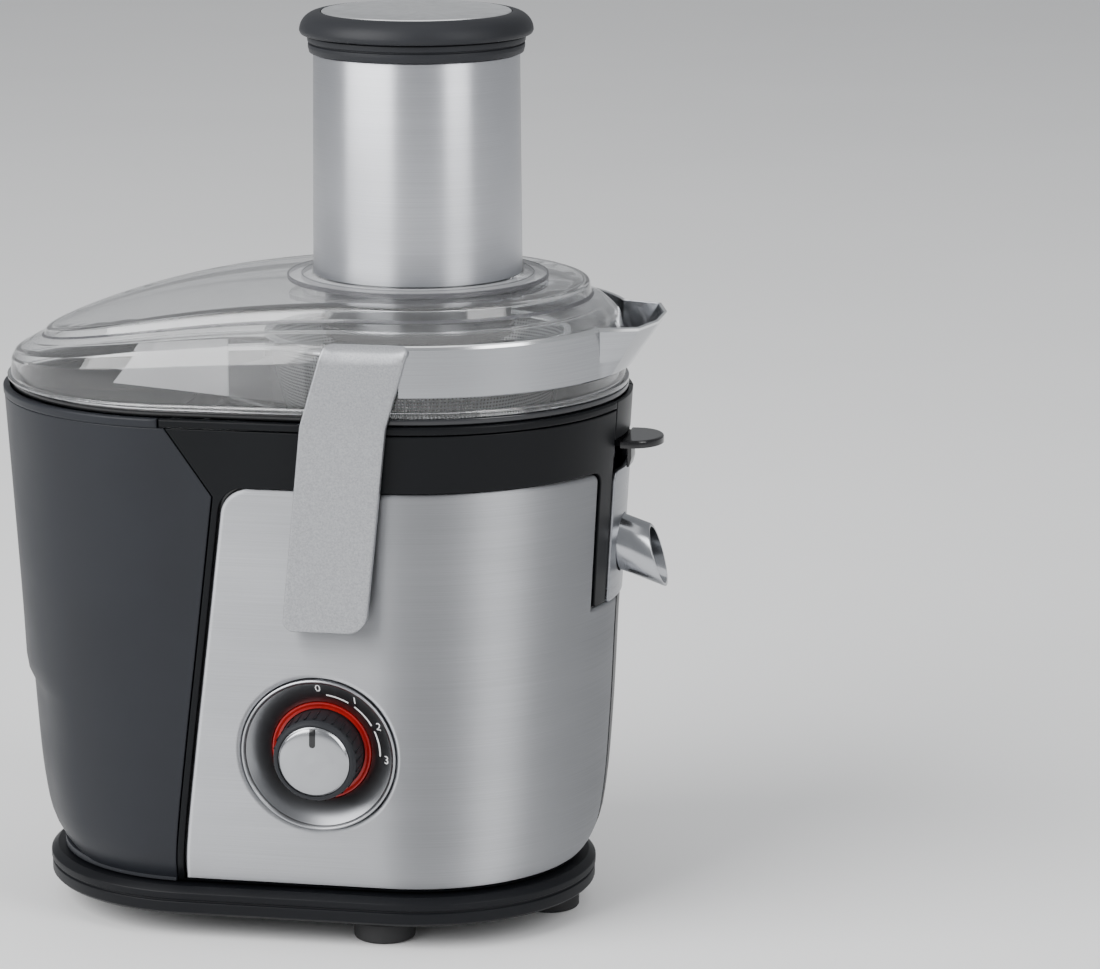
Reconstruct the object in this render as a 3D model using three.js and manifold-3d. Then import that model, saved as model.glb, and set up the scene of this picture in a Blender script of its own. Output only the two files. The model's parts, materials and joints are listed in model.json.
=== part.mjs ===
// Centrifugal juicer, millimetres, +Z up.
// While it is built, X = Y = 0 is the motor axis: +X points to the juice spout, -X to the pulp
// container, -Y to the front with the dial. At the end the whole model is shifted along X, so
// that the origin is the middle of its footprint on the table.
import * as THREE from 'three';
import { mergeVertices } from 'three/addons/utils/BufferGeometryUtils.js';
import Module from 'manifold-3d';

const wasm = await Module();
wasm.setup();

// Driving dimensions
const GAP = 0.4;             // between neighbouring pieces
const FINE = 28;             // segments round a large turned piece
const COARSE = 14;           // segments round a small turned piece
const STRETCH = 100;         // from the motor axis to the centre of the container's round end
const FAR = 300;             // half size of cutting blocks

const BODY_PROFILE = [       // radius and height of the casing's flank, from the foot to the rim
  [77.5, 27], [83.5, 35], [88, 45], [91, 60], [94.5, 100], [97, 150], [100.2, 205], [103.5, 258.5],
];
const BODY_LOW = 27;
const RIM_Z = 258.5;
const HOUSING_WALL = 3;
const CONTAINER_WALL = 2.5;
const CONTAINER_FLOOR_Z = 30;

const PARTING_KNEE = [-77, 222];     // the joint line between housing and container, seen from the front
const PARTING_FOOT = [-106.75, 0];
const PARTING_TOP = [-130.4, 300];

const PANEL_T = 1.2;
const PANEL_TOP = 226;
const PANEL_LOW = 28.5;
const PANEL_INSET = 4.2;     // between the joint line and the panel's left edge
const PANEL_CORNER = 12;
const PANEL_END_DEG = -2;    // the panel's right end, below the notch, counted from the spout
const NOTCH_FRAME_DEG = 21;  // the panel stops here beside the spout notch
const NOTCH_DEG = 12.6;      // half angle of the notch that the bowl's spout slides down
const NOTCH_LOW = 158.5;

const BASE_R = 86;
const BASE_LOW = 12;
const BASE_TOP = 26;
const FOOT_R = 15;
const FOOT_PLACES = { foot_front: [-5, -62], foot_back: [-5, 62], foot_right: [64, 0], foot_left: [-135, 0] };
const INLET = { x: 20, z: 19, inner: 70, outer: 91, r: 5.8, bore: 3.6 };   // the cord's rubber sleeve

const DIAL_X = -29;
const DIAL_Z = 98;
const DIAL_FACE_Y = -93.9;
const DIAL_TILT = THREE.MathUtils.degToRad(3.4);
const DIAL_R = 37.25;
const DISH_R = 35;
const DISH_DEPTH = 6;
const LIGHT_R = 24;
const KNOB_R = 20.5;
const KNOB_FACE_R = 17;
const KNOB_RISE = 11;

const SPOUT_Z = 186;         // height of the spout's axis where X is SPOUT_X
const SPOUT_X = 98;
const SPOUT_SLOPE = THREE.MathUtils.degToRad(19);
const SPOUT_R = 13;
const SPOUT_BORE = 11.4;
const SPOUT_ROOT_X = 94.8;
const SHIELD_DEG = 11;
const SHIELD_T = 2;
const SHIELD_LOW = 159.5;
const SHIELD_TOP = 224;

const BOWL_LOW = 187;
const BOWL_TOP = 261.9;
const BOWL_FLANGE_R = 101.5;
const OUTLET = { halfWidth: 10, low: 190, high: 199.4 };

const LEVER = { low: 234.4, top: 238.2, halfWidth: 17, reach: 120, neckX: 104, neckHalf: 12, round: 12 };
const GATE = { x: 92.4, wall: 1.8 };
const STEM = { x: 102.8, wall: 2, halfWidth: 5 };

const BASKET = { low: 221.5, lowR: 58, high: 283, highR: 72, wall: 1 };
const BASKET_RIM = { inner: 69.5, outer: 74, low: 283.3, high: 286.8 };
const GRATER_TEETH = 12;

const LID_LOW = 262.4;
const LID_TOP = 311;
const LID_WALL = 2.5;
const LID_SAG = 1.653e-5;    // how fast the lid's height falls towards the container, per mm squared
const LID_CATCH = { left: -22, right: 8, inner: 98.4, outer: 103.4, low: 283, high: 289 };
const SKIRT = { inner: 96, outer: 100, right: -20 };
const SCREEN = { points: [[-134, -52], [-76, -72], [-36, -85]], wall: 1.6, low: 266, high: 284 };

const CHUTE_BORE = 42;
const CHUTE_R = 44.5;
const CHUTE_LOW = 285;
const CHUTE_TOP = 427.7;
const SLEEVE = { low: 314.6, high: 419.6, lowR: 50.2, highR: 49.2, wall: 0.9 };
const COLLAR_R = 51.6;
const FLANGE_R = 62.6;

const BAND = { r: 103.5, wall: 2, low: 272, high: 296.5, deg: 83 };
const LIP = { rootDeg: 22.6, cornerX: 114, cornerY: 34, tipX: 120, tipY: 14 };

const PUSHER_R = 41.4;
const PUSHER_LOW = 245;
const CAP = { r: 55.7, low: 428.5, top: 439.7, discR: 45.2 };

const LATCH_OUT_Y = 109.5;
const LATCH_T = 4;
const LATCH_PIVOT = { y: 103.1, z: 165.5, r: 2.9, pinR: 1.2, boreR: 1.5, earR: 2.3 };

const LATCH_HOOK = { left: -22, right: 9, inner: 103.9, low: 290.5, high: 296.8 };
const BRACKET = { left: -38.6, right: -7.4, ear: 4.2, outer: 105.1, inner: 99.1, tieLow: 169.7, top: 173 };

const MOTOR_R = 46;
const SHAFT_R = 4;
const SHAFT_CLEAR_R = SHAFT_R + 0.3;
const STATOR = { r: 29, low: 72, high: 118 };
const COIL = { inner: 31, outer: 43, height: 15.6 };
const ROTOR = { r: 28.4, low: 74, high: 116 };
const BEARING = { r: 11, height: 7, lower: 40, upper: 165 };
const BRUSH = { middle: 21.2, halfLength: 8.8, halfWidth: 5, low: 142, high: 152 };
const COMMUTATOR = { r: 12, low: 140, high: 154 };
const FAN = { blades: 7, r: 40, hubR: 14, low: 49, high: 53, pitch: 0.35 };
const COUPLING = { r: 11, ribR: 12, ribs: 6, low: 188, high: 214 };

// Materials
const paint = (color, roughness, metalness) => new THREE.MeshStandardMaterial({ color, roughness, metalness });
const CHARCOAL = paint(0x34373d, 0.45, 0);
const BLACK = paint(0x111214, 0.3, 0);
const STEEL = paint(0xb9bbbd, 0.32, 1);
const SILVER = paint(0xa9abad, 0.4, 0.6);
const CLEAR = paint(0xdfe6ea, 0.08, 0);
const RED = paint(0xa5121a, 0.35, 0);
const RUBBER = paint(0x17181a, 0.85, 0);
const COPPER = paint(0xb5653a, 0.35, 1);
const BOARD = paint(0x1f5a3a, 0.6, 0);

// Closed geometry with shared corners and no slivers of zero area
function weld(geometry) {
  const bare = geometry.clone();
  bare.deleteAttribute('normal');
  bare.deleteAttribute('uv');
  const merged = mergeVertices(bare, 1e-3);
  const index = merged.index.array;
  const kept = [];
  for (let i = 0; i < index.length; i += 3) {
    const [a, b, c] = [index[i], index[i + 1], index[i + 2]];
    if (a !== b && b !== c && c !== a) kept.push(a, b, c);
  }
  merged.setIndex(kept);
  return merged;
}

function solid(geometry) {
  const merged = weld(geometry);
  const vertProperties = new Float32Array(merged.attributes.position.array);
  const triVerts = new Uint32Array(merged.index.array);
  return new wasm.Manifold(new wasm.Mesh({ numProp: 3, vertProperties, triVerts }));
}

function geometryOf(body) {
  const { vertProperties, triVerts } = body.getMesh();
  const geometry = new THREE.BufferGeometry();
  geometry.setAttribute('position', new THREE.BufferAttribute(new Float32Array(vertProperties), 3));
  geometry.setIndex(Array.from(triVerts));
  return geometry;
}

const model = new THREE.Group();

function add(name, shape, material, parent = model) {
  const geometry = shape.isBufferGeometry ? weld(shape) : geometryOf(shape);
  geometry.computeVertexNormals();
  const mesh = new THREE.Mesh(geometry, material);
  mesh.name = name;
  parent.add(mesh);
  return mesh;
}

// Shapes
const toPoints = (pairs) => pairs.map(([r, z]) => new THREE.Vector2(r, z));

// A turned piece about the Z axis. A profile starts and ends on the axis, or goes round a ring.
function turned(pairs, segments = FINE) {
  const geometry = new THREE.LatheGeometry(toPoints(pairs), segments, Math.PI / segments);
  return geometry.rotateX(Math.PI / 2);
}

function turnedRing(pairs, segments = FINE) {
  return turned([...pairs, pairs[0]], segments);
}

function disc(r, low, high, segments = COARSE) {
  return turned([[0, low], [r, low], [r, high], [0, high]], segments);
}

function ring(inner, outer, low, high, segments = COARSE) {
  return turnedRing([[inner, low], [outer, low], [outer, high], [inner, high]], segments);
}

// The casing's plan is a stadium: the left half of a turned piece moves out by STRETCH.
function stretched(geometry) {
  const position = geometry.attributes.position;
  for (let i = 0; i < position.count; i += 1) {
    if (position.getX(i) < -1e-6) position.setX(i, position.getX(i) - STRETCH);
  }
  return geometry;
}

function block(x0, x1, y0, y1, z0, z1) {
  const geometry = new THREE.BoxGeometry(x1 - x0, y1 - y0, z1 - z0);
  return geometry.translate((x0 + x1) / 2, (y0 + y1) / 2, (z0 + z1) / 2);
}

// An outline in X and Z, extruded from y0 to y1
function frontPrism(shape, y0, y1) {
  const geometry = new THREE.ExtrudeGeometry(shape, { depth: y1 - y0, bevelEnabled: false, curveSegments: 6 });
  return geometry.rotateX(Math.PI / 2).translate(0, y1, 0);
}

// An outline in X and Y, extruded from z0 to z1
function planPrism(shape, z0, z1, curveSegments = 12) {
  const geometry = new THREE.ExtrudeGeometry(shape, { depth: z1 - z0, bevelEnabled: false, curveSegments });
  return geometry.translate(0, 0, z0);
}

const polygon = (pairs) => new THREE.Shape(toPoints(pairs));

// A round bar from one point to another
function bar(from, to, r, segments = COARSE) {
  const start = new THREE.Vector3(...from);
  const end = new THREE.Vector3(...to);
  const along = end.clone().sub(start);
  const geometry = new THREE.CylinderGeometry(r, r, along.length(), segments);
  const turn = new THREE.Quaternion().setFromUnitVectors(new THREE.Vector3(0, 1, 0), along.clone().normalize());
  geometry.applyQuaternion(turn);
  const middle = start.add(end).multiplyScalar(0.5);
  return geometry.translate(middle.x, middle.y, middle.z);
}

function radial(deg, r = FAR) {
  const angle = THREE.MathUtils.degToRad(deg);
  return [r * Math.cos(angle), r * Math.sin(angle)];
}

function wedge(fromDeg, toDeg, low, high) {
  return planPrism(polygon([[0, 0], radial(fromDeg), radial(toDeg)]), low, high);
}

// Casing
function bodySolid(offset, below = 0, above = 0) {
  const curve = new THREE.SplineCurve(toPoints(BODY_PROFILE)).getPoints(7);
  const flank = curve.map((p) => [p.x + offset, p.y]);
  const lowR = flank[0][0];
  const highR = flank[flank.length - 1][0];
  const low = BODY_LOW - below;
  const high = RIM_Z + above;
  return solid(stretched(turned([[0, low], [lowR, low], ...flank, [highR, high], [0, high]])));
}

function partingSide(side, shift) {
  const edge = [PARTING_FOOT, PARTING_KNEE, PARTING_TOP].map(([x, z]) => [x + shift, z]);
  const outline = [...edge, [side * FAR, FAR], [side * FAR, 0]];
  return solid(frontPrism(polygon(outline), -FAR, FAR));
}

function bowlPocket(clear) {
  return solid(turned([
    [0, BOWL_LOW - clear], [91.4 + clear, BOWL_LOW - clear], [91.4 + clear, 249 - clear],
    [98.3 + clear, 258 - clear], [BOWL_FLANGE_R + clear, RIM_Z], [BOWL_FLANGE_R + clear, FAR], [0, FAR],
  ]));
}

function panelRegion(grow) {
  const slope = (PARTING_KNEE[0] - PARTING_FOOT[0]) / (PARTING_KNEE[1] - PARTING_FOOT[1]);
  const leftAt = (z) => PARTING_FOOT[0] + slope * z + PANEL_INSET - grow;
  const top = PANEL_TOP + grow;
  const low = PANEL_LOW - grow;
  const outline = new THREE.Shape();
  outline.moveTo(leftAt(low), low);
  outline.lineTo(FAR, low);
  outline.lineTo(FAR, top);
  outline.lineTo(leftAt(top) + PANEL_CORNER, top);
  outline.quadraticCurveTo(leftAt(top), top, leftAt(top - PANEL_CORNER), top - PANEL_CORNER);
  outline.closePath();
  const growDeg = THREE.MathUtils.radToDeg(grow / 100);
  const end = radial(PANEL_END_DEG + growDeg);
  const front = polygon([[-FAR, 0], [0, 0], end, [FAR, -FAR], [-FAR, -FAR]]);
  const notch = wedge(-NOTCH_FRAME_DEG + growDeg, 60, NOTCH_LOW + 1 + grow, FAR);
  return solid(frontPrism(outline, -FAR, FAR))
    .intersect(solid(planPrism(front, 0, FAR)))
    .subtract(solid(notch));
}

function dialHole(r, depth) {
  const geometry = disc(r, -depth, 20, FINE);
  geometry.rotateX(Math.PI / 2 + DIAL_TILT);
  return solid(geometry.translate(DIAL_X, DIAL_FACE_Y, DIAL_Z));
}

function housingShell() {
  const outer = bodySolid(0).intersect(partingSide(1, GAP));
  const inner = bodySolid(-HOUSING_WALL, 5, 5).intersect(partingSide(1, GAP + HOUSING_WALL));
  const panelSeat = bodySolid(4, 5, 5).subtract(bodySolid(-PANEL_T - 0.3, 9, 9)).intersect(panelRegion(GAP));
  return outer
    .subtract(inner)
    .subtract(bowlPocket(1))
    .subtract(panelSeat)
    .subtract(dialHole(DIAL_R + GAP, 20))
    .subtract(solid(wedge(-NOTCH_DEG, NOTCH_DEG, NOTCH_LOW, FAR)));
}

function frontPanel() {
  const skin = bodySolid(0).subtract(bodySolid(-PANEL_T, 5, 5));
  return skin.intersect(panelRegion(0)).subtract(dialHole(DIAL_R + GAP, 20));
}

function pulpContainer() {
  const outer = bodySolid(0).intersect(partingSide(-1, -GAP)).subtract(bowlPocket(2.5));
  const inside = bodySolid(-CONTAINER_WALL, 5, 5)
    .intersect(partingSide(-1, -GAP - CONTAINER_WALL))
    .subtract(bowlPocket(2.5 + CONTAINER_WALL))
    .intersect(solid(block(-FAR, FAR, -FAR, FAR, CONTAINER_FLOOR_Z, FAR)));
  return outer.subtract(inside);
}

function basePlate() {
  const chamferR = BASE_R - 1.5;
  const plate = solid(stretched(turned([
    [0, BASE_LOW], [chamferR, BASE_LOW], [BASE_R, BASE_LOW + 2],
    [BASE_R, BASE_TOP - 2], [chamferR, BASE_TOP], [0, BASE_TOP],
  ])));
  const { x, z, inner, outer, r } = INLET;
  return plate
    .subtract(solid(disc(68, BASE_LOW + 3, FAR)))
    .subtract(solid(bar([x, inner - 10, z], [x, outer + 4, z], r + GAP)));
}

add('housing_shell', housingShell(), CHARCOAL);
add('front_panel', frontPanel(), STEEL);
add('base_plate', basePlate(), BLACK);
add('pulp_container', pulpContainer(), CHARCOAL);
for (const [name, [x, y]] of Object.entries(FOOT_PLACES)) {
  const profile = [[0, 0], [FOOT_R - 1.5, 0], [FOOT_R, 1.5], [FOOT_R, BASE_LOW - 0.3], [0, BASE_LOW - 0.3]];
  add(name, turned(profile, COARSE).translate(x, y, 0), RUBBER);
}
function cordInlet() {
  const { x, z, inner, outer, r, bore } = INLET;
  return solid(bar([x, inner, z], [x, outer, z], r))
    .subtract(solid(bar([x, inner - 10, z], [x, outer + 8, z], bore)));
}
add('cord_inlet', cordInlet(), RUBBER);

// Dial on the front flank. Its own Z axis points straight out of the panel.
const dial = new THREE.Group();
dial.position.set(DIAL_X, DIAL_FACE_Y, DIAL_Z);
dial.rotation.x = Math.PI / 2 + DIAL_TILT;
model.add(dial);
add('dial_bezel', turnedRing([
  [DISH_R + GAP, -3], [DIAL_R, -3], [DIAL_R, 1.2], [DIAL_R - 0.8, 1.8], [DISH_R + GAP, 1],
], FINE), STEEL, dial);
add('dial_dish', turnedRing([
  [LIGHT_R + GAP, -DISH_DEPTH - 2], [DISH_R - 2, -3.5], [DISH_R, -3.5], [DISH_R, 0.3],
  [LIGHT_R + GAP, -DISH_DEPTH],
], FINE), BLACK, dial);
add('light_ring', ring(KNOB_R + GAP, LIGHT_R, -DISH_DEPTH - 2, -DISH_DEPTH, FINE), RED, dial);

const knobBase = -DISH_DEPTH - 1.5;
const knobBody = solid(turned([
  [0, knobBase], [KNOB_R, knobBase], [KNOB_R, KNOB_RISE - 2], [KNOB_R - 1.5, KNOB_RISE - 0.5],
  [KNOB_FACE_R + 0.4, KNOB_RISE - 0.5], [KNOB_FACE_R + 0.4, KNOB_RISE - 2.5], [0, KNOB_RISE - 2.5],
])).add(solid(disc(3, knobBase - 16, knobBase + 1)));
add('knob_body', knobBody, BLACK, dial);
const knobFace = solid(turned([
  [0, KNOB_RISE - 2.1], [KNOB_FACE_R, KNOB_RISE - 2.1], [KNOB_FACE_R, KNOB_RISE - 0.4],
  [KNOB_FACE_R - 5, KNOB_RISE], [0, KNOB_RISE + 0.4],
])).subtract(solid(block(-1.2, 1.2, 7, 16, KNOB_RISE - 1, KNOB_RISE + 5)));
add('knob_face', knobFace, SILVER, dial);
const switchBox = solid(block(-14, 14, -14, 14, knobBase - 22, knobBase - 10));
add('speed_switch', switchBox.subtract(solid(disc(3.4, knobBase - 17, FAR))), BLACK, dial);
const boardPlate = solid(block(-30, 30, -26, 26, knobBase - 24.2, knobBase - 22.4));
add('control_board', boardPlate, BOARD, dial);

// Motor, fixed in the housing
add('motor_deck', solid(turnedRing([
  [16, 184], [16, 179], [91.5, 179], [91.5, 182], [19, 182], [19, 184],
])).intersect(solid(block(-78, FAR, -FAR, FAR, 0, FAR))), BLACK);
add('stator_core', ring(STATOR.r, MOTOR_R, STATOR.low, STATOR.high, FINE), STEEL);
const coilLow = { coil_upper: STATOR.high + GAP, coil_lower: STATOR.low - GAP - COIL.height };
for (const [name, low] of Object.entries(coilLow)) {
  add(name, ring(COIL.inner, COIL.outer, low, low + COIL.height), COPPER);
}
for (const end of ['lower', 'upper']) {
  const low = BEARING[end];
  add(`bearing_${end}`, ring(SHAFT_CLEAR_R, BEARING.r, low, low + BEARING.height), STEEL);
  add(`bracket_${end}`, ring(BEARING.r + 0.3, MOTOR_R, low, low + BEARING.height), SILVER);
}
for (const [name, side] of [['brush_left', -1], ['brush_right', 1]]) {
  const middle = BRUSH.middle * side;
  const { halfLength, halfWidth, low, high } = BRUSH;
  add(name, block(middle - halfLength, middle + halfLength, -halfWidth, halfWidth, low, high), BLACK);
}

// Motor, turning
add('motor_shaft', disc(SHAFT_R, 36, 200), STEEL);
add('rotor_core', ring(SHAFT_CLEAR_R, ROTOR.r, ROTOR.low, ROTOR.high, FINE), STEEL);
add('commutator', ring(SHAFT_CLEAR_R, COMMUTATOR.r, COMMUTATOR.low, COMMUTATOR.high), COPPER);

function coolingFan() {
  let fan = solid(ring(SHAFT_CLEAR_R, FAN.hubR, FAN.low, FAN.high));
  const middle = (FAN.low + FAN.high) / 2;
  for (let i = 0; i < FAN.blades; i += 1) {
    const blade = block(FAN.hubR - 2, FAN.r, -3, 3, -0.7, 0.7).rotateX(FAN.pitch).translate(0, 0, middle);
    fan = fan.add(solid(blade.rotateZ((i * 2 * Math.PI) / FAN.blades)));
  }
  return fan;
}
add('cooling_fan', coolingFan(), BLACK);

function driveCoupling() {
  const { r, ribR, ribs, low, high } = COUPLING;
  let coupling = solid(ring(SHAFT_CLEAR_R, r, low, high));
  for (let i = 0; i < ribs; i += 1) {
    const rib = block(r - 1, ribR, -1.5, 1.5, low, high - 1);
    coupling = coupling.add(solid(rib.rotateZ((i * 2 * Math.PI) / ribs)));
  }
  return coupling;
}
add('drive_coupling', driveCoupling(), BLACK);

// Juice bowl with its spout
function juiceBowl() {
  const bowl = solid(turnedRing([
    [20, 197.5], [57, 194], [65, BOWL_LOW], [88, BOWL_LOW], [90.9, 190], [91.4, 249], [98.3, 258],
    [98.8, 258.9], [BOWL_FLANGE_R, 258.9], [BOWL_FLANGE_R, BOWL_TOP], [97, BOWL_TOP], [89, 250],
    [88.5, 194], [86, 189.5], [66, 189.5], [58, 196.5], [22.5, 200], [22.5, 212], [20, 212],
  ]));
  const apronSkin = bodySolid(0).subtract(bodySolid(-2, 5, 5)).subtract(bowlPocket(-0.3));
  const apron = apronSkin.intersect(solid(wedge(-SHIELD_DEG, SHIELD_DEG, 239.2, RIM_Z)));
  const bridge = solid(block(89, 101, -10, 10, 251, 258)).intersect(bodySolid(-1));
  const outlet = block(80, 95, -OUTLET.halfWidth, OUTLET.halfWidth, OUTLET.low, OUTLET.high);
  return bowl.add(bridge).add(apron).subtract(solid(outlet));
}
add('juice_bowl', juiceBowl(), CLEAR);

const spoutRun = [Math.cos(SPOUT_SLOPE), 0, -Math.sin(SPOUT_SLOPE)];
const spoutPoint = (t) => [SPOUT_X + t * spoutRun[0], 0, SPOUT_Z + t * spoutRun[2]];
function spoutTube() {
  const mouth = polygon([[113.2, 194.4], [122, 164], [FAR, 164], [FAR, 194.4]]);
  return solid(bar(spoutPoint(-12), spoutPoint(40), SPOUT_R, FINE))
    .subtract(solid(bar(spoutPoint(-20), spoutPoint(50), SPOUT_BORE, FINE)))
    .subtract(solid(block(0, SPOUT_ROOT_X, -FAR, FAR, 0, FAR)))
    .subtract(solid(frontPrism(mouth, -FAR, FAR)))
    .subtract(solid(block(122, FAR, -FAR, FAR, 0, FAR)));
}
add('spout_tube', spoutTube(), STEEL);

function spoutShield() {
  const skin = bodySolid(1).subtract(bodySolid(1 - SHIELD_T, 9, 9));
  return skin
    .intersect(solid(wedge(-SHIELD_DEG, SHIELD_DEG, SHIELD_LOW, SHIELD_TOP)))
    .subtract(solid(bar(spoutPoint(-20), spoutPoint(50), SPOUT_R + 0.3, FINE)));
}
add('spout_shield', spoutShield(), STEEL);

// The drip stop: a tab over the spout, with a gate that drops in front of the bowl's outlet
function dripLever() {
  const { low, top, halfWidth, reach, neckX, neckHalf, round } = LEVER;
  const tab = new THREE.Shape();
  tab.moveTo(GATE.x, -neckHalf);
  tab.lineTo(neckX, -neckHalf);
  tab.lineTo(neckX, -halfWidth);
  tab.lineTo(reach - round, -halfWidth);
  tab.quadraticCurveTo(reach, -halfWidth + 1, reach, 0);
  tab.quadraticCurveTo(reach, halfWidth - 1, reach - round, halfWidth);
  tab.lineTo(neckX, halfWidth);
  tab.lineTo(neckX, neckHalf);
  tab.lineTo(GATE.x, neckHalf);
  tab.closePath();
  const gate = block(GATE.x, GATE.x + GATE.wall, -neckHalf, neckHalf, OUTLET.high + 0.8, top);
  const stem = block(STEM.x, STEM.x + STEM.wall, -STEM.halfWidth, STEM.halfWidth, SHIELD_TOP - 1, low + 1);
  return solid(planPrism(tab, low, top, 6)).add(solid(gate)).add(solid(stem));
}
add('drip_lever', dripLever(), BLACK);

// Filter basket
add('basket_mesh', turnedRing([
  [BASKET.lowR - BASKET.wall, BASKET.low], [BASKET.lowR, BASKET.low],
  [BASKET.highR, BASKET.high], [BASKET.highR - BASKET.wall, BASKET.high],
], FINE), STEEL);
const { inner: hoopInner, outer: hoopOuter, low: hoopLow, high: hoopHigh } = BASKET_RIM;
add('basket_rim', ring(hoopInner, hoopOuter, hoopLow, hoopHigh, FINE), STEEL);

function graterDisc() {
  let grater = solid(disc(56.6, BASKET.low, BASKET.low + 2, FINE));
  for (let i = 0; i < GRATER_TEETH; i += 1) {
    const tooth = new THREE.CylinderGeometry(0.2, 1.6, 3, 4).rotateX(Math.PI / 2);
    tooth.translate(12 + 3.4 * i, 0, BASKET.low + 3);
    grater = grater.add(solid(tooth.rotateZ(i * 2.4)));
  }
  return grater;
}
add('grater_disc', graterDisc(), STEEL);
add('basket_hub', turnedRing([
  [12.6, 203], [16.5, 203], [16.5, 215.5], [26, 217], [26, 221.1], [12.6, 221.1],
]), BLACK);

// Lid
function sagged(geometry) {
  const position = geometry.attributes.position;
  for (let i = 0; i < position.count; i += 1) {
    const x = position.getX(i);
    const keep = x < 0 ? 1 - LID_SAG * x * x : 1;
    position.setZ(i, LID_LOW + (position.getZ(i) - LID_LOW) * keep);
  }
  return geometry;
}

function lidSolid(offset, below) {
  const low = LID_LOW - below;
  return solid(sagged(stretched(turned([
    [0, low], [100 - offset, low], [99.6 - offset, 285], [97.5 - offset, 295 - offset / 2],
    [91 - offset, 300.5 - offset], [82 - offset / 2, 310 - offset],
    [40, LID_TOP - offset], [0, LID_TOP - offset],
  ]))));
}

function lidCover() {
  let cover = lidSolid(0, 0).subtract(lidSolid(LID_WALL, 4));
  const { left, right, inner, outer, low, high } = LID_CATCH;
  cover = cover.add(solid(block(left, right, inner, outer, low, high)));
  cover = cover.add(solid(block(left, right, -outer, -inner, low, high)));
  return cover.subtract(solid(disc(CHUTE_R + 0.3, 200, FAR + 50, FINE)));
}
add('lid_cover', lidCover(), CLEAR);

function lidSkirt() {
  return solid(stretched(disc(SKIRT.outer, RIM_Z + 0.6, LID_LOW - 0.3, FINE)))
    .subtract(solid(stretched(disc(SKIRT.inner, 0, FAR, FINE))))
    .subtract(solid(disc(BOWL_FLANGE_R + 0.5, 0, FAR, FINE)))
    .intersect(solid(block(-FAR, SKIRT.right, -FAR, FAR, 0, FAR)));
}
add('lid_skirt', lidSkirt(), BLACK);

// The lip juts out at the band's top only: its lower edge is drawn back onto the band's own circle.
function drawnBack(geometry) {
  const { r, wall, low } = BAND;
  const { cornerX, tipX, tipY } = LIP;
  const position = geometry.attributes.position;
  for (let i = 0; i < position.count; i += 1) {
    const [x, y, z] = [position.getX(i), position.getY(i), position.getZ(i)];
    const reach = Math.hypot(x, y);
    if (z > low + 1 || reach < r + 0.5) continue;
    const besideTip = x < cornerX - wall / 2 + 0.1 && Math.abs(y) > tipY;
    const behindTip = x < tipX - wall / 2 && Math.abs(y) <= tipY;
    const target = besideTip || behindTip ? r - wall : r;
    position.setXY(i, (x * target) / reach, (y * target) / reach);
  }
  return geometry;
}

function lidBand() {
  const outline = new THREE.Shape();
  const { r, wall, deg } = BAND;
  const { rootDeg, cornerX, cornerY, tipX, tipY } = LIP;
  const rad = THREE.MathUtils.degToRad;
  outline.absarc(0, 0, r, rad(-deg), rad(-rootDeg), false);
  outline.lineTo(cornerX, -cornerY);
  outline.lineTo(tipX, -tipY);
  outline.lineTo(tipX, tipY);
  outline.lineTo(cornerX, cornerY);
  outline.absarc(0, 0, r, rad(rootDeg), rad(deg), false);
  outline.absarc(0, 0, r - wall, rad(deg), rad(rootDeg + 1), true);
  outline.lineTo(cornerX - wall, cornerY - 1.4);
  outline.lineTo(tipX - wall, tipY - 0.6);
  outline.lineTo(tipX - wall, 0.6 - tipY);
  outline.lineTo(cornerX - wall, 1.4 - cornerY);
  outline.absarc(0, 0, r - wall, rad(-rootDeg - 1), rad(-deg), true);
  return drawnBack(planPrism(outline, BAND.low, BAND.high, 9));
}
add('lid_band', lidBand(), STEEL);

function pulpDeflector() {
  const { points, wall, low, high } = SCREEN;
  const outside = points.map(([x, y]) => [x - wall / 3, y - wall]).reverse();
  return planPrism(polygon([...points, ...outside]), low, high);
}
add('pulp_deflector', pulpDeflector(), CLEAR);

add('chute_tube', ring(CHUTE_BORE, CHUTE_R, CHUTE_LOW, CHUTE_TOP, FINE), CLEAR);
add('chute_flange', turnedRing([
  [CHUTE_R + GAP, LID_TOP + GAP], [FLANGE_R, LID_TOP + GAP], [FLANGE_R, 313],
  [52, 314.2], [CHUTE_R + GAP, 314.2],
], FINE), CLEAR);
add('chute_sleeve', turnedRing([
  [SLEEVE.lowR - SLEEVE.wall, SLEEVE.low], [SLEEVE.lowR, SLEEVE.low],
  [SLEEVE.highR, SLEEVE.high], [SLEEVE.highR - SLEEVE.wall, SLEEVE.high],
], FINE), STEEL);
add('chute_collar', turnedRing([
  [CHUTE_R + GAP, SLEEVE.high + GAP], [COLLAR_R, SLEEVE.high + GAP], [COLLAR_R, 427.2],
  [COLLAR_R - 0.8, 428], [CHUTE_R + GAP, 428],
], FINE), BLACK);

// Pusher
add('pusher_body', turned([
  [0, PUSHER_LOW], [PUSHER_R - 2.4, PUSHER_LOW], [PUSHER_R, PUSHER_LOW + 3], [PUSHER_R, CAP.low - 0.3],
  [PUSHER_R - 2, CAP.low - 0.3], [PUSHER_R - 2, PUSHER_LOW + 4], [0, PUSHER_LOW + 4],
], FINE), BLACK);
add('pusher_cap', turned([
  [0, CAP.low], [CAP.r - 2.5, CAP.low], [CAP.r, CAP.low + 2], [CAP.r - 0.6, CAP.low + 5],
  [CAP.r - 5, CAP.top - 2.2], [CAP.discR + 0.4, CAP.top], [CAP.discR + 0.4, CAP.top - 2.4], [0, CAP.top - 2.4],
], FINE), BLACK);
add('pusher_disc', turned([
  [0, CAP.top - 2.1], [CAP.discR, CAP.top - 2.1], [CAP.discR, CAP.top - 0.4],
  [CAP.discR - 1, CAP.top], [0, CAP.top],
], FINE), STEEL);

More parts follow.
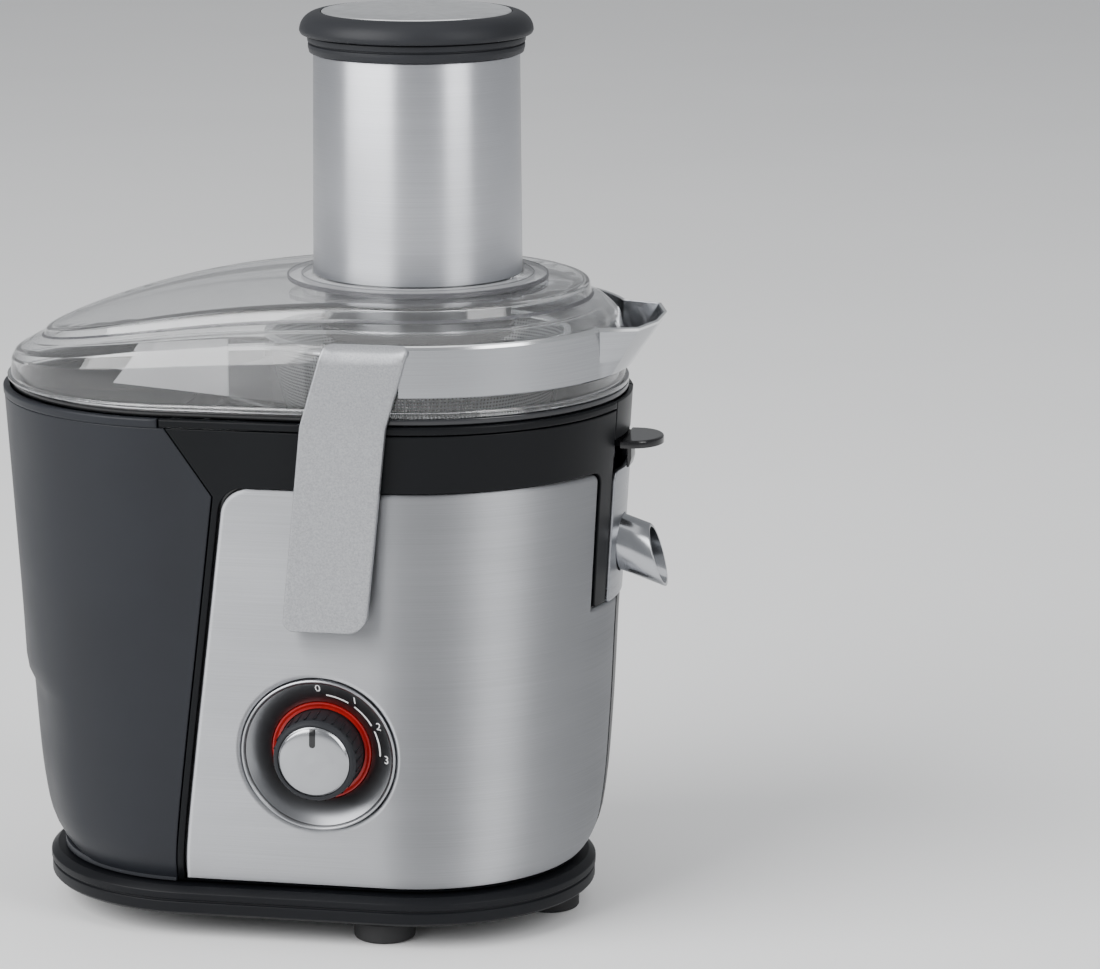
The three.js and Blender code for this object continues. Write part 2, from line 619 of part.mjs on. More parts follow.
// Locking arms, one on each flank, hinged low on the housing
function latchOutline() {
  const outline = new THREE.Shape();
  outline.moveTo(-37.5, 161);
  outline.lineTo(-12, 161);
  outline.quadraticCurveTo(-3, 161, -2, 170);
  outline.lineTo(7.5, 258.5);
  outline.lineTo(18.2, 293.5);
  outline.quadraticCurveTo(19, 297.5, 15, 297.5);
  outline.lineTo(-17.5, 297.5);
  outline.quadraticCurveTo(-21.3, 297.5, -22.4, 293);
  outline.lineTo(-33, 258.5);
  outline.lineTo(-42.5, 166);
  outline.quadraticCurveTo(-42.8, 161, -37.5, 161);
  return outline;
}

function latchPieces(name) {
  const { y, z, r, pinR, boreR, earR } = LATCH_PIVOT;
  const { left, right, ear, outer, inner, tieLow, top } = BRACKET;
  const hinge = (x0, x1, radius, segments) => solid(bar([x0, -y, z], [x1, -y, z], radius, segments));
  const barrel = hinge(left + ear + GAP, right - ear - GAP, r);
  const bore = hinge(left - 11, right + 17, boreR);
  const arm = solid(frontPrism(latchOutline(), -LATCH_OUT_Y, -LATCH_OUT_Y + LATCH_T));
  const nose = LATCH_HOOK;
  const hook = solid(block(nose.left, nose.right, -LATCH_OUT_Y + 1, -nose.inner, nose.low, nose.high));
  let bracket = solid(block(left, right, -outer, -inner, tieLow, top));
  for (const x of [left, right - ear]) {
    bracket = bracket.add(solid(block(x, x + ear, -outer, -inner, z, top))).add(hinge(x, x + ear, earR));
  }
  return {
    [`latch_${name}`]: arm.add(hook).add(barrel).subtract(bore),
    [`latch_bracket_${name}`]: bracket.subtract(bore),
    [`latch_pin_${name}`]: hinge(left, right, pinR, 12),
  };
}
const LATCH_MATERIALS = { latch_bracket: CHARCOAL, latch_pin: STEEL };
for (const name of ['front', 'back']) {
  for (const [piece, shape] of Object.entries(latchPieces(name))) {
    const kind = piece.slice(0, piece.lastIndexOf('_'));
    const side = name === 'front' ? shape : shape.mirror([0, 1, 0]);
    add(piece, side, LATCH_MATERIALS[kind] ?? SILVER);
  }
}

// The origin goes to the middle of the footprint.
const extent = new THREE.Box3().setFromObject(model);
model.position.x = -(extent.min.x + extent.max.x) / 2;

export default model;
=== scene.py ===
"""A centrifugal juicer's looks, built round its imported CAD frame.

Lengths are millimetres in the machine's own frame until a mesh is made: the origin is the motor
axis on the table, +X points to the spout, -Y to the dial. world() turns them into metres.
"""
import json
from math import acos, asin, atan2, ceil, cos, degrees, dist, hypot, pi, radians, sin, sqrt, tan

import bmesh
import bpy
import numpy as np
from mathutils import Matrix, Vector
from mathutils.geometry import delaunay_2d_cdt

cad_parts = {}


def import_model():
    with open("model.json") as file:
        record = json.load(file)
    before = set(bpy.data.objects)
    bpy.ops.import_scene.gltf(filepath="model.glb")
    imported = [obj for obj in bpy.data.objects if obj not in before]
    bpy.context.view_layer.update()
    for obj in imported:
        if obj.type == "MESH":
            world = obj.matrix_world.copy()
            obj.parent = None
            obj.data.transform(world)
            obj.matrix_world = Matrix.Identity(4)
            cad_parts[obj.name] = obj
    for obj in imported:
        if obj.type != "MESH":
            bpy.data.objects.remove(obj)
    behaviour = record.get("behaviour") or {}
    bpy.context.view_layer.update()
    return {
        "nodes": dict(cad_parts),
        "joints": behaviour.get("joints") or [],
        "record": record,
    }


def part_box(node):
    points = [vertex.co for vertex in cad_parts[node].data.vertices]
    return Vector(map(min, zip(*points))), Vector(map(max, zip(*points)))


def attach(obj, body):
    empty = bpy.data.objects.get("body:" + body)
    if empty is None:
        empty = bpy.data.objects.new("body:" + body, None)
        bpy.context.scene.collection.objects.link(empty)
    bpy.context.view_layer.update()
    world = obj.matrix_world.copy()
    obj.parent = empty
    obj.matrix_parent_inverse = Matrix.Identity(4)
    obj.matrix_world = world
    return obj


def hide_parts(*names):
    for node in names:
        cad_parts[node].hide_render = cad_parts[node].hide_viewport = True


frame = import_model()
JOINT = {joint["name"]: joint for joint in frame["joints"]}
AXIS_X = JOINT["rotor_spin"]["pos_m"][0]
MM = 0.001

# Driving sizes, repeated from the CAD model
STRETCH = 100.0
RIM_Z = 258.5
RIM_R = 103.5
BODY_LOW = 27                    # the casing's lower edge, in the base plate's groove
BODY_PROFILE = [(BODY_LOW, 77.5), (35, 83.5), (45, 88), (60, 91), (100, 94.5), (150, 97), (205, 100.2),
                (RIM_Z, RIM_R)]
KNEE = (-77.0, 222.0)
FOOT_SLOPE = (-77.0 + 106.75) / 222.0
RIM_SLOPE = (-77.0 + 130.4) / (300.0 - 222.0)
LID_LOW = 262.4
LID_SAG = 1.653e-5
FLAT_R = 100.0                   # the radius at which the flat form's t is a true length
LAP = pi * FLAT_R
PERIOD = 2 * STRETCH + 2 * LAP


def world(p):
    """From the machine's millimetres to the frame's metres."""
    return (AXIS_X + p[0] * MM, p[1] * MM, p[2] * MM)


def smooth_through(points):
    """A cubic curve through (x, y) points, as a function of x."""
    xs = [p[0] for p in points]
    ys = [p[1] for p in points]
    steps = [(ys[i + 1] - ys[i]) / (xs[i + 1] - xs[i]) for i in range(len(xs) - 1)]
    slopes = [steps[0]] + [(a + b) / 2 for a, b in zip(steps, steps[1:])] + [steps[-1]]

    def value(x):
        x = min(max(x, xs[0]), xs[-1])
        i = max(0, min(len(xs) - 2, int(np.searchsorted(xs, x)) - 1))
        h = xs[i + 1] - xs[i]
        t = (x - xs[i]) / h
        a = ys[i] * (1 + 2 * t) * (1 - t) ** 2 + slopes[i] * h * t * (1 - t) ** 2
        b = ys[i + 1] * t * t * (3 - 2 * t) + slopes[i + 1] * h * t * t * (t - 1)
        return a + b

    return value


body_r = smooth_through(BODY_PROFILE)


def around(r, a, x=0, y=0):
    """The point at radius r and angle a round (x, y)."""
    return x + r * cos(a), y + r * sin(a)


def plan(t, r):
    """The stadium plan. t runs along the front flank, round the spout end, back and round the left end."""
    t = (t + STRETCH) % PERIOD - STRETCH
    if t <= 0:
        return t, -r
    if t <= LAP:
        a = t / FLAT_R - pi / 2
        return around(r, a)
    if t <= LAP + STRETCH:
        return LAP - t, r
    a = pi / 2 + (t - LAP - STRETCH) / FLAT_R
    return around(r, a, -STRETCH)


def t_of_angle(deg):
    """t on the spout end, for an angle from +X towards the back."""
    return (radians(deg) + pi / 2) * FLAT_R


def t_of_x(x, r):
    """t on the front for a given X. Left of the flank it goes on round the left end."""
    return x if x > -STRETCH else -STRETCH - FLAT_R * asin(min(1, (-STRETCH - x) / r))


def plan_stops():
    """Values of t once round the plan, closer together on the round ends."""
    flank = [STRETCH / 10 * k for k in range(10)]
    bend = [LAP * k / 56 for k in range(56)]
    starts = ((-STRETCH, flank), (0, bend), (LAP, flank), (LAP + STRETCH, bend))
    return [start + t for start, steps in starts for t in steps] + [LAP + STRETCH + LAP]


def parting_x(z):
    """X of the joint between housing and container, which kinks at the knee."""
    return KNEE[0] - (KNEE[1] - z) * FOOT_SLOPE if z < KNEE[1] else KNEE[0] - (z - KNEE[1]) * RIM_SLOPE


# -------- mesh making

def added(name, data):
    """A new object in the scene."""
    obj = bpy.data.objects.new(name, data)
    bpy.context.scene.collection.objects.link(obj)
    return obj


class Shape:
    """Collects faces with UVs in millimetres."""

    def __init__(self):
        self.bm = bmesh.new()
        self.uv = self.bm.loops.layers.uv.new("UVMap")

    def face(self, points, uvs, slot=0):
        verts = [self.bm.verts.new(world(p)) for p in points]
        made = self.bm.faces.new(verts)
        made.material_index = slot
        for loop, uv in zip(made.loops, uvs):
            loop[self.uv].uv = (uv[0] * MM, uv[1] * MM)

    def grid(self, rows, uvs, slot=0):
        """Quads between rows of points; a row may be all one point."""
        for i in range(len(rows) - 1):
            for j in range(len(rows[i]) - 1):
                kept = []
                for a, b in ((i, j), (i, j + 1), (i + 1, j + 1), (i + 1, j)):
                    if all((Vector(rows[a][b]) - Vector(p)).length > 1e-4 for p, _ in kept):
                        kept.append((rows[a][b], uvs[a][b]))
                if len(kept) > 2:
                    self.face(*zip(*kept), slot)

    def piece(self, name, materials, body, nodes=(), slot=None, sharp=32):
        bmesh.ops.remove_doubles(self.bm, verts=self.bm.verts, dist=2e-6)
        bmesh.ops.recalc_face_normals(self.bm, faces=self.bm.faces)
        mesh = bpy.data.meshes.new(name)
        self.bm.to_mesh(mesh)
        self.bm.free()
        obj = added(name, mesh)
        for material in materials if isinstance(materials, (list, tuple)) else [materials]:
            mesh.materials.append(material)
        mesh.polygons.foreach_set("use_smooth", [True] * len(mesh.polygons))
        mesh.set_sharp_from_angle(angle=radians(sharp))
        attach(obj, body)
        if nodes:
            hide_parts(*nodes)


def fillet(points, radius, closed=False, steps=4):
    """Rounds an outline's corners. radius is one number, or a number for each point."""
    count = len(points)
    radii = radius if isinstance(radius, (list, tuple)) else [radius] * count
    out = []
    for i, p in enumerate(points):
        here = Vector(p)
        ends = not closed and i in (0, count - 1)
        if ends or radii[i] <= 0:
            out.append(tuple(here))
            continue
        before = Vector(points[i - 1]) - here
        after = Vector(points[(i + 1) % count]) - here
        angle = before.angle(after)
        if angle > pi - 0.03:
            out.append(tuple(here))
            continue
        reach = radii[i] / tan(angle / 2)
        reach = min(reach, before.length * 0.48, after.length * 0.48)
        r = reach * tan(angle / 2)
        start = here + before.normalized() * reach
        end = here + after.normalized() * reach
        centre = here + (before.normalized() + after.normalized()).normalized() * (r / sin(angle / 2))
        for k in range(steps + 1):
            spoke = (start - centre).lerp(end - centre, k / steps)
            out.append(tuple(centre + spoke.normalized() * r))
    return out


def rounded(points, radii, steps=4):
    """A closed outline with its corners rounded."""
    return fillet(points, radii, closed=True, steps=steps)


def along(points):
    """Running length at each point of an outline."""
    total = [0.0]
    for a, b in zip(points, points[1:]):
        total.append(total[-1] + dist(a, b))
    return total


def turn(count):
    """Angles round a full circle, the last one back at the start."""
    return [2 * pi * k / count for k in range(count + 1)]


def circle(r, count, x=0, y=0):
    return [around(r, a, x, y) for a in turn(count)[:-1]]


def quarter(r, z, wide, high):
    """A quarter ellipse from just above its outer end up to its top."""
    angles = [pi / 2 * k / 12 for k in range(1, 13)]
    return [(r + wide * cos(a), z + high * sin(a)) for a in angles]


def revolve(profile, segments=96, closed=False, place=tuple, girth=None):
    """Turns a profile of (radius, height) about Z. place moves each point into the machine's frame."""
    shape = Shape()
    points = list(profile) + ([profile[0]] if closed else [])
    girth = girth or max(p[0] for p in points)
    angles = [radians(360.0 * k / segments) for k in range(segments + 1)]
    rows = [[place((*around(r, a), z)) for a in angles] for r, z in points]
    shape.grid(rows, [[(a * girth, v) for a in angles] for v in along(points)])
    return shape


def turned(outline, radii, segments=128, steps=3):
    """A ring turned from an outline with rounded corners."""
    return revolve(rounded(outline, radii, steps), segments, closed=True)


def stadium_sweep(points, lift=None, shape=None, slot=0):
    """Sweeps a profile of (radius, height) round the stadium plan."""
    shape = shape or Shape()
    stops = plan_stops()
    rows = []
    for r, z in points:
        places = [plan(t, r) for t in stops]
        rows.append([(x, y, lift(x, z) if lift else z) for x, y in places])
    shape.grid(rows, [[(t, v) for t in stops] for v in along(points)], slot)
    return shape


def inset(loop, distance):
    """Moves a loop to its left: into a ring that runs anticlockwise, away from a clockwise hole."""
    out = []
    for i, p in enumerate(loop):
        a = Vector(loop[i - 1])
        b = Vector(p)
        c = Vector(loop[(i + 1) % len(loop)])
        first = (b - a).normalized()
        second = (c - b).normalized()
        left = Vector((-first.y, first.x))
        middle = (left + Vector((-second.y, second.x))).normalized()
        out.append(tuple(b + middle * (distance / max(0.35, middle.dot(left)))))
    return out


def sampled(loop, step):
    """The same closed loop with points no further apart than step."""
    out = []
    for i, p in enumerate(loop):
        a = Vector(p)
        b = Vector(loop[(i + 1) % len(loop)])
        count = max(1, ceil((b - a).length / step))
        out += [tuple(a.lerp(b, k / count)) for k in range(count)]
    return [p for i, p in enumerate(out) if dist(p, out[i - 1]) > 1e-3]


def inside(points, loops):
    """Which of the points lie inside the outline and outside its holes."""
    x, y = points[:, 0], points[:, 1]
    result = np.zeros(len(points), bool)
    for (x0, y0), (x1, y1) in [(loop[i - 1], p) for loop in loops for i, p in enumerate(loop)]:
        if y0 == y1:
            continue
        result ^= ((y0 > y) != (y1 > y)) & (x < (x1 - x0) * (y - y0) / (y1 - y0) + x0)
    return result


def filled(loops, grid, clear):
    """Fills an outline round its holes, by way of the grid's points that are clear of the edges."""
    border = np.array([p for loop in loops for p in loop])
    grid = grid[inside(grid, loops)]
    far = np.array([np.min(np.sum((border - g) ** 2, axis=1)) > clear ** 2 for g in grid], bool)
    flat = [Vector(p) for p in grid[far]] if len(grid) else []
    edges = []
    for loop in loops:
        first = len(flat)
        flat += [Vector(p) for p in loop]
        edges += [(first + i, first + (i + 1) % len(loop)) for i in range(len(loop))]
    verts, _, faces = delaunay_2d_cdt(flat, edges, [], 0, 1e-6)[:3]
    centres = np.array([sum((verts[i] for i in f), Vector((0, 0))) / len(f) for f in faces])
    return verts, [face for face, kept in zip(faces, inside(centres, loops)) if kept]


def skin(loops, mapper, wall, step=5.0, edge=0.6, shape=None, back=True):
    """A curved sheet with rounded edges. loops are in its flat form: the outline anticlockwise, then
    holes clockwise. mapper turns (u, v, depth) into a point. Without back only the front is made."""
    shape = shape or Shape()
    loops = [sampled(loop, step * 0.6) for loop in loops]
    brinks = [inset(loop, edge) for loop in loops]
    inner = [inset(loop, edge + 0.5) for loop in loops]
    low = np.min(np.array(inner[0]), axis=0)
    high = np.max(np.array(inner[0]), axis=0)
    grid = np.array([(u, v) for u in np.arange(low[0], high[0], step)
                     for v in np.arange(low[1], high[1], step)])
    verts, faces = filled(inner, grid, step * 0.45)
    for depth in (0.0, wall) if back else (0.0,):
        for face in faces:
            shape.face([mapper(*verts[i], depth) for i in face], [verts[i] for i in face])
    for outer_loop, brink, inner_loop in zip(loops, brinks, inner):
        strips = [(inner_loop, 0.0)]
        for k in range(5):
            a = pi / 2 * k / 4
            flat_row = [Vector(i).lerp(Vector(o), sin(a)) for i, o in zip(brink, outer_loop)]
            strips.append((flat_row, edge * (1 - cos(a))))
        strips += [(outer_loop, wall)] + [(inner_loop, wall)] * back
        strips = [(row + row[:1], depth) for row, depth in strips]
        shape.grid([[mapper(*p, depth) for p in row] for row, depth in strips], [row for row, _ in strips])
    return shape


def tube(start, end, r, segments, shape):
    """A closed round bar between two points."""
    a, b = Vector(start), Vector(end)
    run = (b - a).normalized()
    side = run.orthogonal().normalized()
    up = run.cross(side)
    rows, uvs = [], []
    for centre, radius, v in ((a, 0, 0), (a, r, 1), (b, r, 2), (b, 0, 3)):
        rows.append([centre + (side * cos(q) + up * sin(q)) * radius for q in turn(segments)])
        uvs.append([(q * r, v * 10) for q in turn(segments)])
    shape.grid(rows, uvs)


def slab(x0, x1, y0, y1, z0, z1, shape):
    """A block, for small fittings."""
    c = [(x, y, z) for z in (z0, z1) for x, y in ((x0, y0), (x1, y0), (x1, y1), (x0, y1))]
    for face in ((0, 3, 2, 1), (4, 5, 6, 7), (0, 1, 5, 4), (1, 2, 6, 5), (2, 3, 7, 6), (3, 0, 4, 7)):
        shape.face([c[i] for i in face], [(c[i][0] + c[i][1], c[i][2]) for i in face])


# -------- materials

def with_inputs(made, **values):
    """Sets a node's inputs by name, with an underscore for each space."""
    for key, value in values.items():
        made.inputs[key.replace("_", " ")].default_value = value
    return made


def node(tree, kind, **inputs):
    return with_inputs(tree.nodes.new("ShaderNode" + kind), **inputs)


def new_material(name, color, roughness, metallic=0.0, **more):
    material = bpy.data.materials.new(name)
    material.use_nodes = True
    shader = material.node_tree.nodes["Principled BSDF"]
    with_inputs(shader, Base_Color=(*color, 1), Roughness=roughness, Metallic=metallic, **more)
    return material, material.node_tree, shader


def coordinates(tree, kind="Object", scale=(1, 1, 1)):
    source = node(tree, "TexCoord")
    mapping = node(tree, "Mapping", Scale=scale)
    tree.links.new(source.outputs[kind], mapping.inputs["Vector"])
    return mapping.outputs["Vector"]


def noise(tree, vector, scale, detail=3.0, rough=0.55):
    made = node(tree, "TexNoise", Scale=scale, Detail=detail, Roughness=rough)
    tree.links.new(vector, made.inputs["Vector"])
    return made.outputs["Fac"]


def ranged(tree, value, low, high, from_low=0.3, from_high=0.7):
    made = node(tree, "MapRange", From_Min=from_low, From_Max=from_high, To_Min=low, To_Max=high)
    tree.links.new(value, made.inputs["Value"])
    return made.outputs["Result"]


def tinted(tree, shader, value, dark, light):
    ramp = node(tree, "ValToRGB")
    for end, place, color in zip(ramp.color_ramp.elements, (0.3, 0.7), (dark, light)):
        end.position = place
        end.color = (*color, 1)
    tree.links.new(value, ramp.inputs["Fac"])
    tree.links.new(ramp.outputs["Color"], shader.inputs["Base Color"])


def shaded(tree, shader, value, color, dark, light):
    """Tints between two multiples of one colour."""
    tinted(tree, shader, value, [c * dark for c in color], [min(1, c * light) for c in color])


def bumped(tree, shader, value, strength, distance):
    made = node(tree, "Bump", Strength=strength, Distance=distance)
    tree.links.new(value, made.inputs["Height"])
    tree.links.new(made.outputs["Normal"], shader.inputs["Normal"])


def moulded(name, color, roughness, grain=0.12, spread=0.06, sheen=0.5):
    """Moulded plastic: a fine texture, slightly uneven gloss and tone."""
    material, tree, shader = new_material(name, color, roughness, Specular_IOR_Level=sheen)
    place = coordinates(tree)
    fine = noise(tree, place, 2600, 2.0)
    broad = noise(tree, place, 14, 3.0)
    shaded(tree, shader, broad, color, 0.9, 1.1)
    tree.links.new(ranged(tree, broad, roughness - spread, roughness + spread), shader.inputs["Roughness"])
    bumped(tree, shader, fine, grain, 0.00006)
    return material


def brushed(name, color, roughness, streaks=(10, 4200), grain=0.25, aniso=0.55):
    """Brushed steel: long thin streaks along the UV map's U, which runs round each piece."""
    material, tree, shader = new_material(
        name, color, roughness, 1.0, Anisotropic=aniso, Anisotropic_Rotation=0.25)
    place = coordinates(tree, "UV", (*streaks, 1))
    lines = noise(tree, place, 1.0, 4.0, 0.6)
    cloud = noise(tree, coordinates(tree, "UV", (6, 30, 1)), 1.0, 3.0)
    shaded(tree, shader, lines, color, 0.88, 1.08)
    rough = ranged(tree, cloud, roughness - 0.03, roughness + 0.04)
    tree.links.new(rough, shader.inputs["Roughness"])
    bumped(tree, shader, lines, grain, 0.00003)
    tangent = node(tree, "Tangent")
    tangent.direction_type = "UV_MAP"
    tangent.uv_map = "UVMap"
    tree.links.new(tangent.outputs["Tangent"], shader.inputs["Tangent"])
    return material


def flaked(name, color, roughness):
    """Silver lacquer with metal flakes."""
    material, tree, shader = new_material(
        name, color, roughness, 0.75, Coat_Weight=0.25, Coat_Roughness=0.2)
    place = coordinates(tree)
    flake = node(tree, "TexVoronoi", Scale=2400)
    tree.links.new(place, flake.inputs["Vector"])
    speck = noise(tree, place, 1200, 3.0, 0.7)
    shaded(tree, shader, speck, color, 0.78, 1.14)
    tree.links.new(ranged(tree, flake.outputs["Distance"], roughness - 0.06, roughness + 0.12, 0, 0.6),
                   shader.inputs["Roughness"])
    bumped(tree, shader, speck, 0.08, 0.00006)
    return material


def clear(name, color):
    material, tree, shader = new_material(name, color, 0.02, IOR=1.49, Transmission_Weight=0.97)
    wave = noise(tree, coordinates(tree), 9, 1.0)
    bumped(tree, shader, wave, 0.05, 0.0004)
    return material


def smoky(name, color, alpha):
    """Grey translucent plastic; made dark, it also serves for painted shade lines."""
    material, tree, shader = new_material(name, color, 0.2, Alpha=alpha)
    cloud = noise(tree, coordinates(tree), 20, 2.0)
    shaded(tree, shader, cloud, color, 0.9, 1.1)
    return material


CONTAINER = moulded("container_plastic", (0.014, 0.0155, 0.0195), 0.42, sheen=0.22)
CASING = moulded("casing_plastic", (0.004, 0.0045, 0.0055), 0.36, sheen=0.14)
BASE = moulded("base_plastic", (0.005, 0.0055, 0.007), 0.42, sheen=0.16)
GLOSS = moulded("gloss_black", (0.008, 0.008, 0.009), 0.14, 0.03, 0.03)
CAP_PLASTIC = moulded("cap_plastic", (0.015, 0.016, 0.019), 0.48, sheen=0.25)
RUBBER = moulded("rubber", (0.012, 0.012, 0.013), 0.75, 0.3)
PANEL_STEEL = brushed("panel_steel", (0.48, 0.488, 0.507), 0.6, aniso=0.95)
TRIM_STEEL = brushed("trim_steel", (0.38, 0.388, 0.405), 0.15)
# A lighter copy of the steel for edges that catch the light: painted highlight.
HIGHLIGHT_STEEL = brushed("highlight_steel", (0.82, 0.83, 0.84), 0.2)
BASKET_STEEL = brushed("basket_steel", (0.55, 0.56, 0.58), 0.3)
SILVER = flaked("silver_lacquer", (0.34, 0.347, 0.362), 0.30)
CLEAR = clear("clear_plastic", (0.985, 0.99, 0.995))
CLEAR_GREY = smoky("grey_translucent", (0.74, 0.74, 0.75), 0.66)
# A dark grey sheet for the lid's edge lines: painted shade where the clear plastic's edges look dark.
PAINTED_EDGE_SHADE = smoky("painted_edge_shade", (0.10, 0.10, 0.11), 0.7)
CLEAR_THIN = smoky("thin_translucent", (0.85, 0.85, 0.86), 0.08)
FLANGE_CLEAR = smoky("flange_frost", (0.75, 0.76, 0.78), 0.35)
WHITE_MARK = moulded("white_print", (0.85, 0.85, 0.85), 0.5)
BEZEL_STEEL = brushed("bezel_steel", (0.40, 0.408, 0.425), 0.32, (6, 200), 0.05, 0.0)
DISH_METAL = brushed("dish_metal", (0.25, 0.255, 0.267), 0.32, (3, 40), 0.02, 0.0)
KNOB_FACE = brushed("knob_silver", (0.40, 0.408, 0.425), 0.22, (3, 40), 0.03, 0.0)
SLEEVE_STEEL = brushed("sleeve_steel", (0.56, 0.57, 0.60), 0.34, aniso=0.85)
TUBE_GREY = brushed("tube_grey", (0.34, 0.345, 0.36), 0.3)
DISC_STEEL = brushed("disc_steel", (0.85, 0.86, 0.87), 0.34, (120, 120), 0.2, 0.0)
SHIELD_SILVER = brushed("shield_silver", (0.26, 0.267, 0.285), 0.28, (6, 300), 0.05, 0.0)
SPOUT_STEEL = brushed("spout_steel", (0.42, 0.43, 0.45), 0.2, (2, 40), 0.02, 0.0)
BOWL_BLACK = moulded("bowl_black", (0.02, 0.021, 0.024), 0.12, 0.02, 0.02)
MOTOR_STEEL = brushed("motor_steel", (0.42, 0.42, 0.44), 0.35)
COPPER = brushed("copper_wire", (0.62, 0.27, 0.14), 0.35, (900, 900), 0.4, 0.0)
BOARD = moulded("board_green", (0.02, 0.10, 0.05), 0.5)


def glowing_red():
    """Red plastic that is lit a little from behind."""
    material, tree, shader = new_material(
        "red_ring", (0.30, 0.007, 0.007), 0.3, Emission_Color=(0.7, 0.01, 0.01, 1), Emission_Strength=0.02)
    band = noise(tree, coordinates(tree), 60, 2.0)
    tinted(tree, shader, band, (0.25, 0.005, 0.005), (0.34, 0.009, 0.008))
    return material


def mesh_steel():
    """Perforated sheet: rows of small dark holes."""
    material, tree, shader = new_material("perforated_steel", (0.6, 0.61, 0.62), 0.3, 1.0)
    place = coordinates(tree, "UV")
    dots = node(tree, "TexVoronoi", Scale=520, Randomness=0.0)
    tree.links.new(place, dots.inputs["Vector"])
    open_share = ranged(tree, dots.outputs["Distance"], 0.0, 1.0, 0.24, 0.32)
    tinted(tree, shader, open_share, (0.02, 0.02, 0.022), (0.6, 0.61, 0.62))
    bumped(tree, shader, open_share, 0.6, 0.0003)
    return material


RED = glowing_red()
MESH_STEEL = mesh_steel()

# -------- casing

SEAM = 0.35                      # half the joint between housing and container
LIP_LOW = 254.6                  # the rim's lip starts here
SKIN_TOP = LIP_LOW - 0.5         # and the casing's skins stop below it
WALL = 1.5                       # how far inner walls stay behind the casing's outer face
NOTCH = 12.6                     # half the spout's notch, in degrees from +X
PANEL_SIDE = -21.0               # the panel's right edge above the shield's foot, in degrees
PANEL_END = -2.0                 # and below it
PANEL_LOW, PANEL_TOP = 28.5, 226.0
PANEL_STEP = 159.5               # height where the panel passes under the shield
CUT_LOW = 28.0                   # lower edge of the opening behind the panel
KNOB_AT = [(p - start) / MM for p, start in zip(JOINT["knob_turn"]["pos_m"], (AXIS_X, 0, 0))]
DIAL = (KNOB_AT[0], KNOB_AT[2])
BOWL_SIDE_R = 95.0               # the container's hollow beside the bowl


def parting(low, high, shift=0.0):
    """The joint line in the casing's flat form, from low to high."""
    between = [z for z in (*range(30, 259, 6), KNEE[1]) if low < z < high]
    return [(t_of_x(parting_x(z), body_r(z)) + shift, z) for z in sorted({low, high, *between})]


def panel_left(shift, low=PANEL_LOW, top=PANEL_TOP):
    """The panel's left edge and rounded top corner, from the foot up, then along the top."""
    def edge(z):
        return t_of_x(KNEE[0] - (KNEE[1] - z) * FOOT_SLOPE + 4.2 + shift, body_r(z))
    return fillet([(edge(low), low), (edge(top), top), (0, top)], [0, 13, 0], steps=10)[:-1]


def casing_map(offset=0.0, step_in=None):
    """Wraps the flat form onto the casing, offset outwards and drawn in by step_in(t, z)."""
    def place(t, z, depth):
        r = body_r(z) + offset - depth
        if step_in:
            r -= step_in(t, z)
        x, y = plan(t, r)
        return x, y, z
    return place


def housing():
    """The casing's right part, open for the panel and notched for the spout."""
    front = parting(BODY_LOW, SKIN_TOP, SEAM)
    back = [(LAP - t, z) for t, z in front]
    left, right = t_of_angle(-NOTCH), t_of_angle(NOTCH)
    groove = 2.2
    side, end = t_of_angle(PANEL_SIDE) + groove, t_of_angle(PANEL_END) + groove
    cut_top, foot, step = PANEL_TOP + 0.7, PANEL_STEP + 0.5, PANEL_STEP - 1
    frame_cut = fillet([(0, cut_top), (side, cut_top), (side, foot), (left, foot)], [0, 6, 2.5, 0], steps=6)
    outline = back + [(right, SKIN_TOP), (right, step), (end, step), (end, CUT_LOW)]
    outline += panel_left(-0.8, CUT_LOW, cut_top) + frame_cut[1:-1]
    outline += [(left, foot), (left, SKIN_TOP)] + front[::-1]
    shape = skin([outline], casing_map(), 3.0, step=6, edge=0.5)
    lip_front = t_of_x(parting_x(RIM_Z), body_r(RIM_Z)) + SEAM
    for start, stop in ((lip_front, left), (right, LAP - lip_front)):
        lip = [(start, LIP_LOW), (stop, LIP_LOW), (stop, RIM_Z), (start, RIM_Z)]
        skin([lip], casing_map(0.35), 3.6, step=6, edge=1.0, shape=shape)
    motor_wall(shape)
    shape.piece("housing_casing", CASING, "housing", ["housing_shell"], "charcoal_plastic")


def upright_wall(shape, heights, span, thick=3.0, steps=24):
    """A closed wall beside the parting; span(z) gives its two ends in y."""
    rows, uvs = [], []
    for z in heights:
        low, high = span(z)
        ys = [low + (high - low) * k / steps for k in range(steps + 1)]
        face = parting_x(z) + SEAM
        ring = [(face, y, z) for y in ys] + [(face + thick, y, z) for y in reversed(ys)]
        rows.append(ring + ring[:1])
        uvs.append([(y, z) for y in ys] + [(y, z + thick) for y in reversed(ys)] + [(low, z)])
    shape.grid(rows, uvs)
    for row, uv in ((rows[0], uvs[0]), (rows[-1], uvs[-1])):
        near, far = slice(0, steps + 1), slice(2 * steps + 1, steps, -1)
        shape.grid([row[near], row[far]], [uv[near], uv[far]])


def motor_wall(shape):
    """Closes the motor's room toward the container, and stops short of the bowl above it."""
    bowl_low, bowl_r, bowl_neck = 186.0, 92.6, 248.0
    beside_bowl = [bowl_low, 204] + [KNEE[1] + (bowl_neck - KNEE[1]) * k / 13 for k in range(14)]

    def full(z):
        half = body_r(z) - WALL
        return -half, half

    def beside(side):
        def span(z):
            near = parting_x(z) + SEAM + 3.0
            inner = sqrt(bowl_r ** 2 - near ** 2)
            return side * inner, side * (body_r(z) - WALL)
        return span

    upright_wall(shape, [BODY_LOW, 50, 80, 110, 140, 165, bowl_low], full)
    for side in (-1, 1):
        upright_wall(shape, beside_bowl, beside(side), steps=6)


